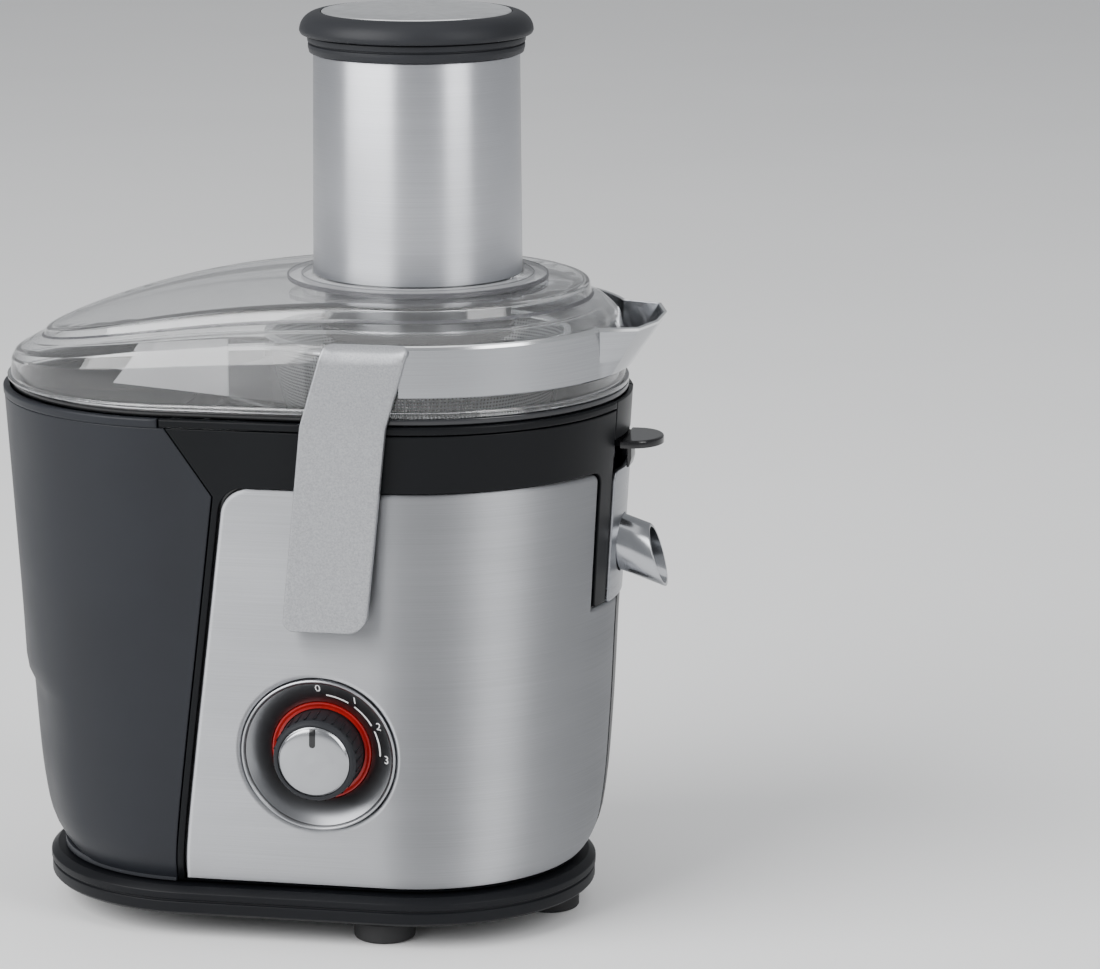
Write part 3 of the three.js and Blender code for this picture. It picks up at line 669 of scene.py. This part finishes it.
def panel_bed():
    """The black sheet behind the panel; it is the bottom of the grooves around it."""
    side, end = t_of_angle(PANEL_SIDE + 4), t_of_angle(PANEL_END + 2)
    top, step = PANEL_TOP + 2.5, PANEL_STEP - 1.5
    outline = panel_left(-3.5, CUT_LOW, top) + [(side, top), (side, step), (end, step), (end, CUT_LOW)]
    hole = circle(36.5, 60, *DIAL)
    shape = skin([outline[::-1], hole[::-1]], casing_map(-3.3), 0.8, step=8, edge=0.2)
    shape.piece("panel_bed", GLOSS, "housing", slot="base_black")


def steel_panel():
    side, end = t_of_angle(PANEL_SIDE), t_of_angle(PANEL_END)
    top_corner = fillet([(0, PANEL_TOP), (side, PANEL_TOP), (side, PANEL_STEP)], [0, 4, 0], steps=5)[1:-1]
    outline = panel_left(0) + top_corner + [(side, PANEL_STEP), (end, PANEL_STEP), (end, PANEL_LOW)]
    hole = circle(37.6, 90, *DIAL)
    shape = skin([outline[::-1], hole[::-1]], casing_map(0.4), 3.0, step=6, edge=2.2)
    shape.piece("steel_panel", PANEL_STEEL, "housing", ["front_panel"], "brushed_panel", sharp=60)


def grip_step(t, z):
    """The container's left end draws in below its finger grip."""
    middle = LAP + STRETCH + LAP / 2
    away = abs(((t - LAP - STRETCH) % PERIOD) + LAP + STRETCH - middle)
    share = 3.2
    for x in ((95 - away) / 45, (121 - z) / 10):
        x = min(1, max(0, x))
        share = share * x * x * (3 - 2 * x)
    return share


def container():
    joint = parting(BODY_LOW, SKIN_TOP, -SEAM)
    front = [(t + PERIOD, z) for t, z in joint]
    back = [(LAP - t, z) for t, z in joint]
    shape = skin([front + back[::-1]], casing_map(0, grip_step), 2.5, step=6, edge=0.5)
    rim = t_of_x(parting_x(RIM_Z), body_r(RIM_Z)) - SEAM
    start, stop, low = LAP - rim, PERIOD + rim, LIP_LOW - 0.6
    lip = [(start, low), (stop, low), (stop, RIM_Z), (start, RIM_Z)]
    skin([lip], casing_map(0.4), 3.2, step=6, edge=1.1, shape=shape)
    container_inside(shape)
    shape.piece("container_bin", CONTAINER, "container", ["pulp_container"], "charcoal_plastic")


def container_inside(shape):
    """The bin's inner wall, hollowed where the bowl sits, and its floor."""
    hollow_low, neck = 184.1, 246
    heights = [30, 60, 90, 120, 150, 180, 184, 184.2, 200, 222, 240, 254]
    for depth in (0.0, 2.5):
        rows = []
        for z in heights:
            row = []
            half = body_r(z) - WALL
            for k in range(41):
                y = -half + 2 * half * k / 40
                x = parting_x(z) - SEAM
                if z > hollow_low and abs(y) < BOWL_SIDE_R:
                    x = min(x, -sqrt(BOWL_SIDE_R ** 2 - y * y) - max(0, z - neck) * 0.6)
                left_end = -STRETCH - sqrt(max(0, half ** 2 - y * y))
                row.append((max(x - depth, left_end), y, z))
            rows.append(row)
        shape.grid(rows, [[(y, z) for _, y, z in row] for row in rows])
    floor_z = 30
    reach = body_r(floor_z) - 1
    start = acos((parting_x(BODY_LOW) - SEAM - 0.3 + STRETCH) / reach)
    angles = [start + 2 * (pi - start) * k / 40 for k in range(41)]
    plan_line = [around(reach, a, -STRETCH) for a in angles]
    skin([plan_line], lambda x, y, d: (x, y, floor_z - d), 3.0, step=16, edge=0.4, shape=shape)


def base_plate():
    outline = [(0, 12), (70, 12), (84, 12), (85.6, 13.6), (85.6, 18.4), (84.8, 18.9), (84.8, 19.6),
               (86, 20.2), (86, 23.2), (82.6, 26), (66, 26), (0, 26)]
    shape = stadium_sweep(fillet(outline, [0, 0, 1.5, 0.6, 0.5, 0.2, 0.2, 0.4, 0.8, 0.6, 0, 0], steps=3))
    shape.piece("base_shell", BASE, "housing", ["base_plate"], "base_black", sharp=40)


def feet():
    for name in ("foot_front", "foot_back", "foot_right", "foot_left"):
        low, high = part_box(name)
        x, y = ((low.x + high.x) / 2 - AXIS_X) / MM, (low.y + high.y) / 2 / MM
        outline = [(0, 0), (14.8, 0), (14.8, 9), (13.2, 11.7), (0, 11.7)]
        outline = fillet(outline, [0, 1.6, 1, 0.6, 0], steps=4)
        shape = revolve(outline, 48)
        bmesh.ops.translate(shape.bm, vec=(x * MM, y * MM, 0), verts=shape.bm.verts)
        shape.piece(f"{name}_pad", RUBBER, "housing", [name], "rubber")


housing()
steel_panel()
panel_bed()
container()
base_plate()
feet()


# -------- dial

PRINT_LIFT = 0.12                # printed marks stand this far off their face
KNOB_RISE = 11.0
KNOB_DOME = 2.0                  # height of the cap's dome


def dial_place(p):
    """From the dial's own frame, Z straight out of the panel, to the machine's."""
    out = Vector(JOINT["knob_turn"]["axis"])
    right = Vector((1, 0, 0))
    return tuple(Vector(KNOB_AT) + right * p[0] + out.cross(right) * p[1] + out * p[2])


def dial_revolve(profile, closed=False):
    """Turns a profile about the dial's axis."""
    return revolve(profile, closed=closed, place=dial_place, girth=30)


def dish_z(r):
    """Height of the dish's sloping face."""
    return 0.3 - (35 - r) * 6.3 / 10.6


def digit(text, clock_deg, radius, size):
    """A printed figure on the dish, upright at its clock angle."""
    curve = bpy.data.curves.new(f"figure_{text}", "FONT")
    curve.body = text
    curve.size = size
    curve.align_x = curve.align_y = "CENTER"
    source = added("figure_source", curve)
    bpy.context.view_layer.update()
    flat = source.to_mesh()
    cx, cy = around(radius, radians(90 - clock_deg))
    shape = Shape()
    for polygon in flat.polygons:
        points = []
        for i in polygon.vertices:
            x, y = cx + flat.vertices[i].co.x, cy + flat.vertices[i].co.y
            points.append(dial_place((x, y, dish_z(hypot(x, y)) + PRINT_LIFT)))
        shape.face(points, [(p[0], p[2]) for p in points])
    source.to_mesh_clear()
    bpy.data.objects.remove(source)
    return shape


def dial_arc(from_clock, to_clock, radius, width):
    """A printed line on the dish between two clock angles."""
    rows, uvs = [], []
    for r in (radius - width / 2, radius + width / 2):
        angles = [radians(90 - from_clock + (from_clock - to_clock) * k / 16) for k in range(17)]
        rows.append([dial_place((*around(r, a), dish_z(r) + PRINT_LIFT)) for a in angles])
        uvs.append([(a * 30, r) for a in angles])
    shape = Shape()
    shape.grid(rows, uvs)
    return shape


def dial():
    bezel = [(35.3, -3), (37.25, -3), (37.25, 1.4), (36.5, 1.9), (35.3, 0.6)]
    bezel = rounded(bezel, [0, 0, 0.4, 0.4, 0.3], steps=3)
    dish = [(24.3, -8), (33, -3.5), (35.2, -3.4), (35.2, 0.5), (34.8, 0.3), (24.6, dish_z(24.6)),
            (24.3, -6.4)]
    band = rounded([(20.9, -8), (24.0, -8), (24.0, -5.2), (22.0, -6.2), (20.9, -6.2)], [0, 0, 0.6, 0.2, 0])
    for outline, name, look, replaced, slot in (
            (bezel, "dial_ring", BEZEL_STEEL, "dial_bezel", "brushed_trim"),
            (dish, "dial_cone", DISH_METAL, "dial_dish", "gloss_black"),
            (band, "dial_light", RED, "light_ring", "red_ring")):
        dial_revolve(outline, closed=True).piece(name, look, "housing", [replaced], slot)
    for text, clock in (("0", 0), ("1", 33), ("2", 63), ("3", 93)):
        figure = digit(text, clock, 32.4, 5.6)
        figure.piece(f"dial_figure_{text}", WHITE_MARK, "housing", slot="gloss_black")
    for number, (start, stop) in enumerate(((7, 29), (36, 60), (66, 91))):
        line = dial_arc(start, stop, 28.9, 0.85)
        line.piece(f"dial_line_{number}", WHITE_MARK, "housing", slot="gloss_black")


def knob():
    """The grip with its ribs, the silver cap and the pointer in it."""
    rise, rib_count = KNOB_RISE, 28
    body = [(0, -7.4), (20.4, -7.4), (20.4, -5), (19.9, rise - 2.2), (18.6, rise - 0.4),
            (17.4, rise - 0.4), (17.4, rise - 2.2), (0, rise - 2.2)]
    shape = dial_revolve(fillet(body, [0, 0.4, 0.4, 1.5, 0.6, 0.2, 0.2, 0], steps=4))
    rib = ((-0.5, 19.7), (-0.3, 20.55), (0.3, 20.55), (0.5, 19.7))
    for angle in turn(rib_count)[:-1]:
        spokes = [(angle + w / 20, r) for w, r in rib]
        heights = (-4.5, rise - 3.4)
        rows = [[dial_place((*around(r, a), z)) for a, r in spokes] for z in heights]
        shape.grid(rows, [[(i, z) for i in range(len(rib))] for z in heights])
    shape.piece("knob_grip", CAP_PLASTIC, "knob", ["knob_body"], "gloss_black", sharp=40)
    dome = fillet([(17.1, rise - 2), (17.1, rise - 0.5), (16.4, rise)], [0, 0.3, 0], steps=3)
    dome = [(0, rise - 2)] + dome + quarter(0, rise, 16.4, KNOB_DOME)
    dial_revolve(dome).piece("knob_cap", [KNOB_FACE], "knob", ["knob_face"], "silver_paint", sharp=50)
    pointer = [(-1.5, 7.5), (1.5, 7.5), (1.5, 16.3), (-1.5, 16.3)]
    pointer = rounded(pointer, [1.45, 1.45, 0, 0], steps=6)

    def on_dome(x, y, depth):
        z = rise + KNOB_DOME * sqrt(max(0, 1 - (x * x + y * y) / 269)) + PRINT_LIFT
        return dial_place((x, y, z - depth))
    mark = skin([pointer], on_dome, 0.5, step=2, edge=0.1, back=False)
    mark.piece("knob_pointer", GLOSS, "knob", slot="gloss_black")


dial()
knob()


# -------- locking arms

def latch(side, body, node_name):
    """An arm bent from sheet, with the hook that holds the lid and the eye round its hinge pin."""
    roll, bend_z, face = 5.6, 291.4, 109.5
    outline = [(-42.6, 161), (-2.6, 161), (7.5, RIM_Z), (19.4, 300.2), (-21.2, 300.2), (-33, RIM_Z)]
    outline = rounded(outline, [5, 10, 14, 5, 6, 14], steps=7)

    def place(x, v, depth):
        lean = max(0, v - RIM_Z) * 0.05
        if v <= bend_z:
            y, z = face - lean - depth, v
        else:
            a = (v - bend_z) / roll
            y = face - lean - roll + (roll - depth) * cos(a)
            z = bend_z + (roll - depth) * sin(a)
        return x, side * y, z
    shape = skin([outline], place, 3.6, step=5, edge=0.9)
    slab(-21, 8, *sorted((side * 104.1, side * 106.4)), 290.6, 292.8, shape=shape)
    tube((-34, side * 103.1, 165.5), (-12, side * 103.1, 165.5), 2.9, 24, shape)
    shape.piece(f"{node_name}_arm", SILVER, body, [node_name], "silver_paint", sharp=60)


latch(-1, "latch_f", "latch_front")
latch(1, "latch_b", "latch_back")


# -------- lid

CHUTE_HOLE_R = 45.0
BAND_LOW, BAND_RISE = 272, 24.5
LIP_TIP, LIP_CORNER = (120.0, 13.0), (114.0, 34.0)
LIP_DEG = 22.6                   # where the finger lip runs out into the band


def sag(x, z):
    """The lid's own height z, lowered toward its left end."""
    keep = 1 - LID_SAG * x * x if x < 0 else 1
    return LID_LOW + (z - LID_LOW) * keep


def lid_cover():
    """A clear stadium shell, lower toward its left end, with a round hole for the chute."""
    outside = [(101.6, 262.5), (101.6, 264.6), (99.9, 264.8), (99.4, 286), (97.2, 295.5), (90.5, 301),
               (83.6, 304), (82.4, 310.2), (80, 311)]
    outside = [(98, 262.5)] + fillet(outside, [0.4, 0.6, 0.6, 4, 5, 5, 2, 1.6, 0.4], steps=4)
    inner = [(97.6, 262.5), (97, 286), (94.8, 294), (89.2, 298.6), (81.4, 301.8), (80, 308.6), (78, 308.8)]
    inner = fillet(inner, [0, 4, 5, 5, 2, 1.4, 0.4], steps=4)
    foot = [i for i, (r, z) in enumerate(outside) if r < 86 and 303.0 < z < 305.6]
    first, last = foot[0], foot[-1]     # the foot of the raised top, drawn as a dark grey line: painted shade
    shape = Shape()
    for part, slot in ((outside[:first + 1], 0), (outside[first:last + 1], 1), (outside[last:], 0),
                       (inner, 0), ([outside[0], inner[0]], 0)):
        stadium_sweep(part, lift=sag, shape=shape, slot=slot)
    rows, uvs = [], []
    for r, z in (outside[-1], inner[-1]):
        fill_top(shape, r, z)
        edge = [around(CHUTE_HOLE_R, a) for a in turn(72)]
        rows.append([(x, y, sag(x, z)) for x, y in edge])
        uvs.append([(a * CHUTE_HOLE_R, z) for a in turn(72)])
    shape.grid(rows, uvs)
    for side in (-1, 1):
        slab(-22, 8, *sorted((side * 98.6, side * 103.2)), 283.2, 288.8, shape=shape)
    shape.piece("lid_dome", [CLEAR, PAINTED_EDGE_SHADE], "lid", ["lid_cover"], "clear_plastic", sharp=50)


def fill_top(shape, r, z):
    """Closes the lid's top between the sweep's last ring and the chute's hole."""
    outer = [plan(t, r) for t in plan_stops()[:-1]]
    step = 8.0
    grid = np.array([(x, y) for x in np.arange(-190, 90, step) for y in np.arange(-88, 88, step)])
    verts, faces = filled([outer, circle(CHUTE_HOLE_R, 72)], grid, step / 2)
    for face in faces:
        points = [(verts[i].x, verts[i].y, sag(verts[i].x, z)) for i in face]
        shape.face(points, [(p[0], p[1]) for p in points])


def chute():
    """The tube, the sleeve over it and their rings. Each one is turned about the machine's axis."""
    sleeve = [(49.3, 314.6), (50.2, 314.6), (49.2, 419.6), (48.3, 419.6)]
    turned(sleeve, [0.2, 0.4, 0.4, 0.2]).piece(
        "sleeve_skin", SLEEVE_STEEL, "lid", ["chute_sleeve"], "brushed_trim")
    tube_wall = [(42, 285), (44.5, 285), (44.5, 427.7), (42, 427.7)]
    turned(tube_wall, 0.7, 96).piece("chute_wall", TUBE_GREY, "lid", ["chute_tube"], "clear_plastic")
    foot = [(44.7, 285.2), (45.9, 285.2), (45.9, 290.5), (44.7, 290.5)]
    turned(foot, 0.4, 96).piece("chute_foot_ring", GLOSS, "lid", slot="gloss_black")
    collar = [(45, 420), (51.0, 420), (51.6, 422.5), (51.6, 424.2), (50.7, 424.5), (50.7, 425.0),
              (51.8, 425.3), (52.2, 428.1), (45, 428.1)]
    turned(collar, [0, 0.5, 1, 0.2, 0.1, 0.1, 0.2, 0.5, 0]).piece(
        "collar_ring", CAP_PLASTIC, "lid", ["chute_collar"], "gloss_black")
    # Two thin dark rings on the flange: painted shade lines where its edges look dark.
    for number, (near, far, top) in enumerate(((62.1, 62.7, 313.9), (55.6, 55.95, 314.25))):
        line = [(near, 311.8), (far, 311.8), (far, top - 0.15), (near, top)]
        shape = revolve(line, 128, closed=True)
        shape.piece(f"flange_shade_line_{number}", PAINTED_EDGE_SHADE, "lid", slot="clear_plastic")
    flange = [(50.9, 311.6), (62.6, 311.6), (62.6, 313.2), (61.9, 313.8), (50.9, 314.2)]
    turned(flange, [0, 0.4, 0.5, 0.4, 0]).piece(
        "flange_ring", FLANGE_CLEAR, "lid", ["chute_flange"], "clear_plastic")


def band_point(t, z, depth):
    """The steel band. t is an angle in degrees and its middle flares out into the finger lip."""
    a = radians(t)
    rim = RIM_R
    if abs(t) < LIP_DEG:
        direction = Vector((cos(a), sin(abs(a))))
        chain = [(LIP_TIP[0], 0.0), LIP_TIP, LIP_CORNER, (96.0, 40.0)]
        for p, q in zip(chain, chain[1:]):
            p, q = Vector(p), Vector(q)
            cross = direction.x * (q.y - p.y) - direction.y * (q.x - p.x)
            s = (p.x * direction.y - p.y * direction.x) / cross if abs(cross) > 1e-9 else -1
            if -1e-6 <= s <= 1 + 1e-6:
                rim = (p + (q - p) * s).length
                break
    r = RIM_R + (rim - RIM_R) * (z - BAND_LOW) / BAND_RISE - depth
    return *around(r, a), z


def lid_band():
    kinks = [LIP_DEG] + [degrees(atan2(y, x)) for x, y in (LIP_CORNER, LIP_TIP)]
    stops = sorted({*(-83 + 2.0 * k for k in range(84)), *kinks, *(-k for k in kinks)})
    profile = [(2.0, 272.4), (1.6, 272), (0.4, 272), (0, 272.5), (0, 280), (0, 288), (0, 294.6),
               (0.5, 295.9), (1.2, 296.5), (1.9, 296.5), (2.2, 296), (2.2, 288), (2.2, 280), (2.2, 272.6),
               (2.0, 272.4)]
    rows = [[band_point(t, z, d) for t in stops] for d, z in profile]
    shape = Shape()
    uvs = [[(radians(t) * RIM_R, v) for t in stops] for v in along(profile)]
    for part, slot in ((slice(0, 7), 0), (slice(6, 11), 1), (slice(10, None), 0)):    # 1: the top edge, in lighter steel: a painted highlight
        shape.grid(rows[part], uvs[part], slot)
    for end in (0, -1):
        loop = [row[end] for row in rows[:-1]]
        shape.face(loop, [(p[0], p[2]) for p in loop])
    shape.piece("band_skin", [TRIM_STEEL, HIGHLIGHT_STEEL], "lid", ["lid_band"], "brushed_trim", sharp=14)


def deflector():
    """A frosted screen inside the lid, folded once, with a sloping roof up to the middle."""
    foot = [(-138, -51, 263.5), (-76, -72, 263.5), (-36, -85.4, 263.5)]
    head = [(-124, -53, 284), (-76, -72, 291), (-36, -85.4, 292)]
    apex = (-94, 2, 302.5)
    shape, thin = Shape(), Shape()
    wall = Vector((0.3, 0.95, 0)) * 1.2
    for i, part in ((0, shape), (1, thin)):
        corners = [Vector(p) for p in (foot[i], foot[i + 1], head[i + 1], head[i])]
        front, back = corners, [p + wall for p in corners]
        head_edge = [front[3], front[2], back[2], back[3]]
        foot_edge = [front[1], front[0], back[0], back[1]]
        for quad in (front, back[::-1], head_edge, foot_edge):
            part.face(quad, [(p.x, p.z) for p in quad])
    thin.piece("deflector_side", CLEAR_THIN, "lid", slot="clear_plastic")
    roof = Shape()
    for p, q in ((head[0], head[1]), (head[1], head[2])):
        top = [Vector(p), Vector(q), Vector(apex)]
        low = [v - Vector((0, 0, 0.9)) for v in top]
        sides = [[top[i - 2], top[i], low[i], low[i - 2]] for i in range(3)]
        for flat in (top, low[::-1], *sides):
            roof.face(flat, [(v.x, v.y) for v in flat])
    roof.piece("deflector_roof", CLEAR_THIN, "lid", slot="clear_plastic")
    shape.piece("deflector_wall", CLEAR_GREY, "lid", ["pulp_deflector"], "clear_plastic")


def skirt():
    """The black strip under the lid, which leaves out the spout's end."""
    outline = rounded([(96.4, 259.1), (100, 259.1), (100, 262), (96.4, 262)], 0.4, steps=2)
    shape = Shape()
    short, step = 20, 8
    stops = [LAP + short + step * k for k in range(int((PERIOD - LAP - 2 * short) / step) + 1)]
    profile = outline + [outline[0]]
    rows = [[(*plan(t, r), z) for t in stops] for r, z in profile]
    shape.grid(rows, [[(t, v) for t in stops] for v in along(profile)])
    shape.piece("skirt_strip", GLOSS, "lid", ["lid_skirt"], "gloss_black")


lid_cover()
chute()
lid_band()
deflector()
skirt()


# -------- pusher

def pusher():
    body = fillet([(0, 245), (39, 245), (41.3, 248), (41.3, 428.1), (39.4, 428.1), (39.4, 249), (0, 249)],
                  [0, 1.5, 1.5, 0.4, 0.4, 1, 0], steps=3)
    revolve(body, 96).piece("pusher_core", CAP_PLASTIC, "pusher", ["pusher_body"], "gloss_black")
    cap = [(0, 428.5), (52.6, 428.5)]
    cap += fillet([(52.6, 428.5), (55.0, 428.8), (55.7, 430.4)], [0, 0.8, 0], steps=3)[1:]
    cap += quarter(46.2, 430.4, 9.5, 8.9) + [(45.6, 439.2), (45.5, 437.6), (0, 437.6)]
    revolve(cap, 128).piece("pusher_dome", CAP_PLASTIC, "pusher", ["pusher_cap"], "gloss_black", sharp=50)
    disc = [(0, 437.7), (45.2, 437.7), (45.2, 439.1), (44.6, 439.6), (0, 439.7)]
    disc = fillet(disc, [0, 0, 0.4, 0.3, 0], steps=3)
    revolve(disc, 128).piece("pusher_plate", DISC_STEEL, "pusher", ["pusher_disc"], "brushed_trim", sharp=50)


pusher()


# -------- bowl, spout and basket

SPOUT_SLOPE = radians(19)
SPOUT_R = 13                     # outside


def bowl():
    """The turned bowl and the piece of casing that fills the notch under its rim."""
    outline = [(20, 197.5), (57, 194), (65, 187), (88, 187), (90.9, 190), (91.4, 249), (98.3, 258),
               (98.8, 258.9), (101.5, 258.9), (101.5, 261.9), (97, 261.9), (89, 250), (88.5, 194),
               (86, 189.5), (66, 189.5), (58, 196.5), (22.5, 200), (22.5, 212), (20, 212)]
    radii = [0, 3, 3, 3, 3, 6, 2, 0.3, 0.6, 0.6, 3, 6, 4, 3, 3, 3, 2, 0.8, 0.8]
    shape = turned(outline, radii, steps=4)
    left, right = t_of_angle(-NOTCH + 0.4), t_of_angle(NOTCH - 0.4)
    apron = skin([[(left, 239.4), (right, 239.4), (right, 258.3), (left, 258.3)]], casing_map(), 2.0)
    apron.piece("bowl_apron", CASING, "bowl", slot="bowl_plastic")
    shape.piece("bowl_shell", BOWL_BLACK, "bowl", ["juice_bowl"], "bowl_plastic")


def shield():
    """The silver plate round the spout."""
    left, right = t_of_angle(-NOTCH + 0.5), t_of_angle(NOTCH - 0.5)
    outline = [(left, 159.6), (right, 159.6), (right, 224), (left, 224)]
    outline = rounded(outline, [2, 2, 4, 4])
    middle = t_of_angle(0)
    hole = [(middle + x, 185.3 + y / cos(SPOUT_SLOPE)) for x, y in circle(SPOUT_R + 0.4, 48)]
    shape = skin([outline, hole[::-1]], casing_map(1.0), 2.0, step=4, edge=0.6)
    shape.piece("shield_plate", SHIELD_SILVER, "bowl", ["spout_shield"], "brushed_trim", sharp=50)


def spout():
    """A tube that slopes down from the shield, with an oblique mouth and a thin bright lip."""
    run = Vector((cos(SPOUT_SLOPE), 0, -sin(SPOUT_SLOPE)))
    up = Vector((sin(SPOUT_SLOPE), 0, cos(SPOUT_SLOPE)))
    origin = Vector((98, 0, 186))
    mouth_top, mouth_tip = Vector((113.2, 0, 194.6)), Vector((121.9, 0, 163.6))
    mouth_run = (mouth_tip - mouth_top).normalized()
    mouth_normal = Vector((-mouth_run.z, 0, mouth_run.x))
    if mouth_normal.dot(run) < 0:
        mouth_normal = -mouth_normal

    def at(angle, r, share):
        """A point on the line at an angle and radius: share 0 at the shield, 1 at the mouth."""
        line = origin + (Vector((0, 1, 0)) * cos(angle) + up * sin(angle)) * r
        root = line + run * ((94.9 - line.x) / run.x)
        end = line + run * ((mouth_top - line).dot(mouth_normal) / run.dot(mouth_normal))
        return root.lerp(end, share)
    bore = 11.6
    profile = ((bore, 1.0), (bore, 0.0), (SPOUT_R, 0.0), (SPOUT_R, 0.5), (SPOUT_R, 0.985), (12.8, 1.0),
               (bore, 1.0))
    shape = Shape()
    shape.grid([[at(a, r, share) for a in turn(64)] for r, share in profile],
               [[(a * SPOUT_R, share * 25 + r) for a in turn(64)] for r, share in profile])
    shape.piece("spout_pipe", SPOUT_STEEL, "bowl", ["spout_tube"], "brushed_trim", sharp=50)


def drip_stop():
    """The finger tab, its stem and the gate that closes the spout."""
    angles = [-pi / 2 + pi * k / 24 for k in range(25)]
    tab = [(106 + 13.8 * cos(a), 17 * sin(a)) for a in angles]
    tab += [(101.5, 17), (101.5, 12), (92.6, 12), (92.6, -12), (101.5, -12), (101.5, -17)]
    shape = skin([tab], lambda x, y, d: (x, y, 238.2 - d), 3.6, step=4, edge=1.0)
    stem = [(102.7, 236), (102.7, 223.0), (103.9, 223.0), (105.0, 227), (105.0, 236)]
    stem = rounded(stem, [0, 0.5, 0.8, 4, 0])
    skin([stem], lambda x, z, d: (x, -6 + d, z), 12.0, step=4, edge=0.3, shape=shape)
    gate = [(-12, 200.3), (12, 200.3), (12, 236), (-12, 236)]
    grey = skin([gate], lambda y, z, d: (94.1 - d, y, z), 1.6, step=6, edge=0.4)
    grey.piece("drip_gate", SHIELD_SILVER, "drip_stop", slot="brushed_trim")
    shape.piece("drip_tab", GLOSS, "drip_stop", ["drip_lever"], "gloss_black", sharp=50)


def basket():
    wall = turned([(57, 221.6), (58, 221.6), (72, 283), (71, 283)], 0.2, steps=2)
    wall.piece("basket_wall", MESH_STEEL, "basket", ["basket_mesh"], "basket_steel")
    # The hoop is in the lighter steel: a painted highlight on its rim.
    rim = turned([(69.6, 283.3), (74, 283.3), (74, 286.7), (69.6, 286.7)], 1.4, steps=4)
    rim.piece("basket_hoop", HIGHLIGHT_STEEL, "basket", ["basket_rim"], "basket_steel")


bowl()
shield()
spout()
drip_stop()
basket()


# -------- CAD pieces that stay in view

CAD_LOOKS = {
    "basket_steel": BASKET_STEEL, "motor_steel": MOTOR_STEEL, "silver_paint": SILVER, "base_black": BASE,
    "rubber": RUBBER, "copper": COPPER, "board_green": BOARD, "charcoal_plastic": CASING,
}
for entry in frame["record"]["subparts"]:
    shown = frame["nodes"][entry["node"]]
    if entry["material_slot"] in CAD_LOOKS:
        shown.data.materials.clear()
        shown.data.materials.append(CAD_LOOKS[entry["material_slot"]])


# -------- stage, lights and camera

def stage():
    """A wide, flat, pale floor."""
    half = 14.0
    mesh = bpy.data.meshes.new("floor")
    verts = [(x, y, -0.0002) for x, y in ((-half, -half), (half, -half), (half, half), (-half, half))]
    mesh.from_pydata(verts, [], [(0, 1, 2, 3)])
    material, tree, shader = new_material("studio_white", (0.93, 0.93, 0.93), 0.6)
    cloud = noise(tree, coordinates(tree), 3, 2.0)
    tinted(tree, shader, cloud, (0.92, 0.92, 0.92), (0.94, 0.94, 0.94))
    mesh.materials.append(material)
    obj = added("floor", mesh)


def area_light(name, place, size, radiance, facing=(0, 0, 0)):
    """A soft box; unturned it faces down."""
    light = bpy.data.lights.new(name, "AREA")
    light.shape = "RECTANGLE"
    light.size, light.size_y = size
    light.energy = radiance * pi * size[0] * size[1]
    obj = added(name, light)
    obj.location = place
    obj.rotation_euler = facing
    obj.visible_camera = False


def side_light(name, azimuths, distance, heights, radiance):
    """An upright box seen from the motor's axis between two azimuths, counted from -Y toward +X."""
    low, high = heights
    ends = [Vector((AXIS_X + distance * sin(radians(a)), -distance * cos(radians(a)), 0))
            for a in azimuths]
    middle = (ends[0] + ends[1]) / 2
    facing = Vector((AXIS_X - middle.x, -middle.y, 0)).to_track_quat("-Z", "Y").to_euler()
    size = ((ends[1] - ends[0]).length, high - low)
    area_light(name, (middle.x, middle.y, (low + high) / 2), size, radiance, facing)


def camera():
    """Metres. The view from which the machine is shown."""
    data = bpy.data.cameras.new("camera")
    data.lens = 145.2
    data.sensor_width = 36
    obj = added("camera", data)
    obj.location = (AXIS_X + 0.4453, -2.0551, 0.6713)
    obj.rotation_euler = (radians(77.6), 0, radians(10.5))
    bpy.context.scene.camera = obj


def lights():
    """Metres. Two upright boxes and one overhead, in a pale even room."""
    world_look = bpy.data.worlds.new("studio")
    world_look.use_nodes = True
    background = world_look.node_tree.nodes["Background"]
    background.inputs["Color"].default_value = (0.95, 0.97, 1, 1)
    background.inputs["Strength"].default_value = 0.42
    bpy.context.scene.world = world_look
    side_light("left_box", (-72, -15.3), 2.8, (0.6, 4.1), 6.8)
    side_light("right_box", (45, 72), 2.8, (0.6, 4.1), 5.2)
    area_light("top_box", (0.0, 0.2, 3.4), (3.2, 2.6), 1.0)


camera()
stage()
lights()
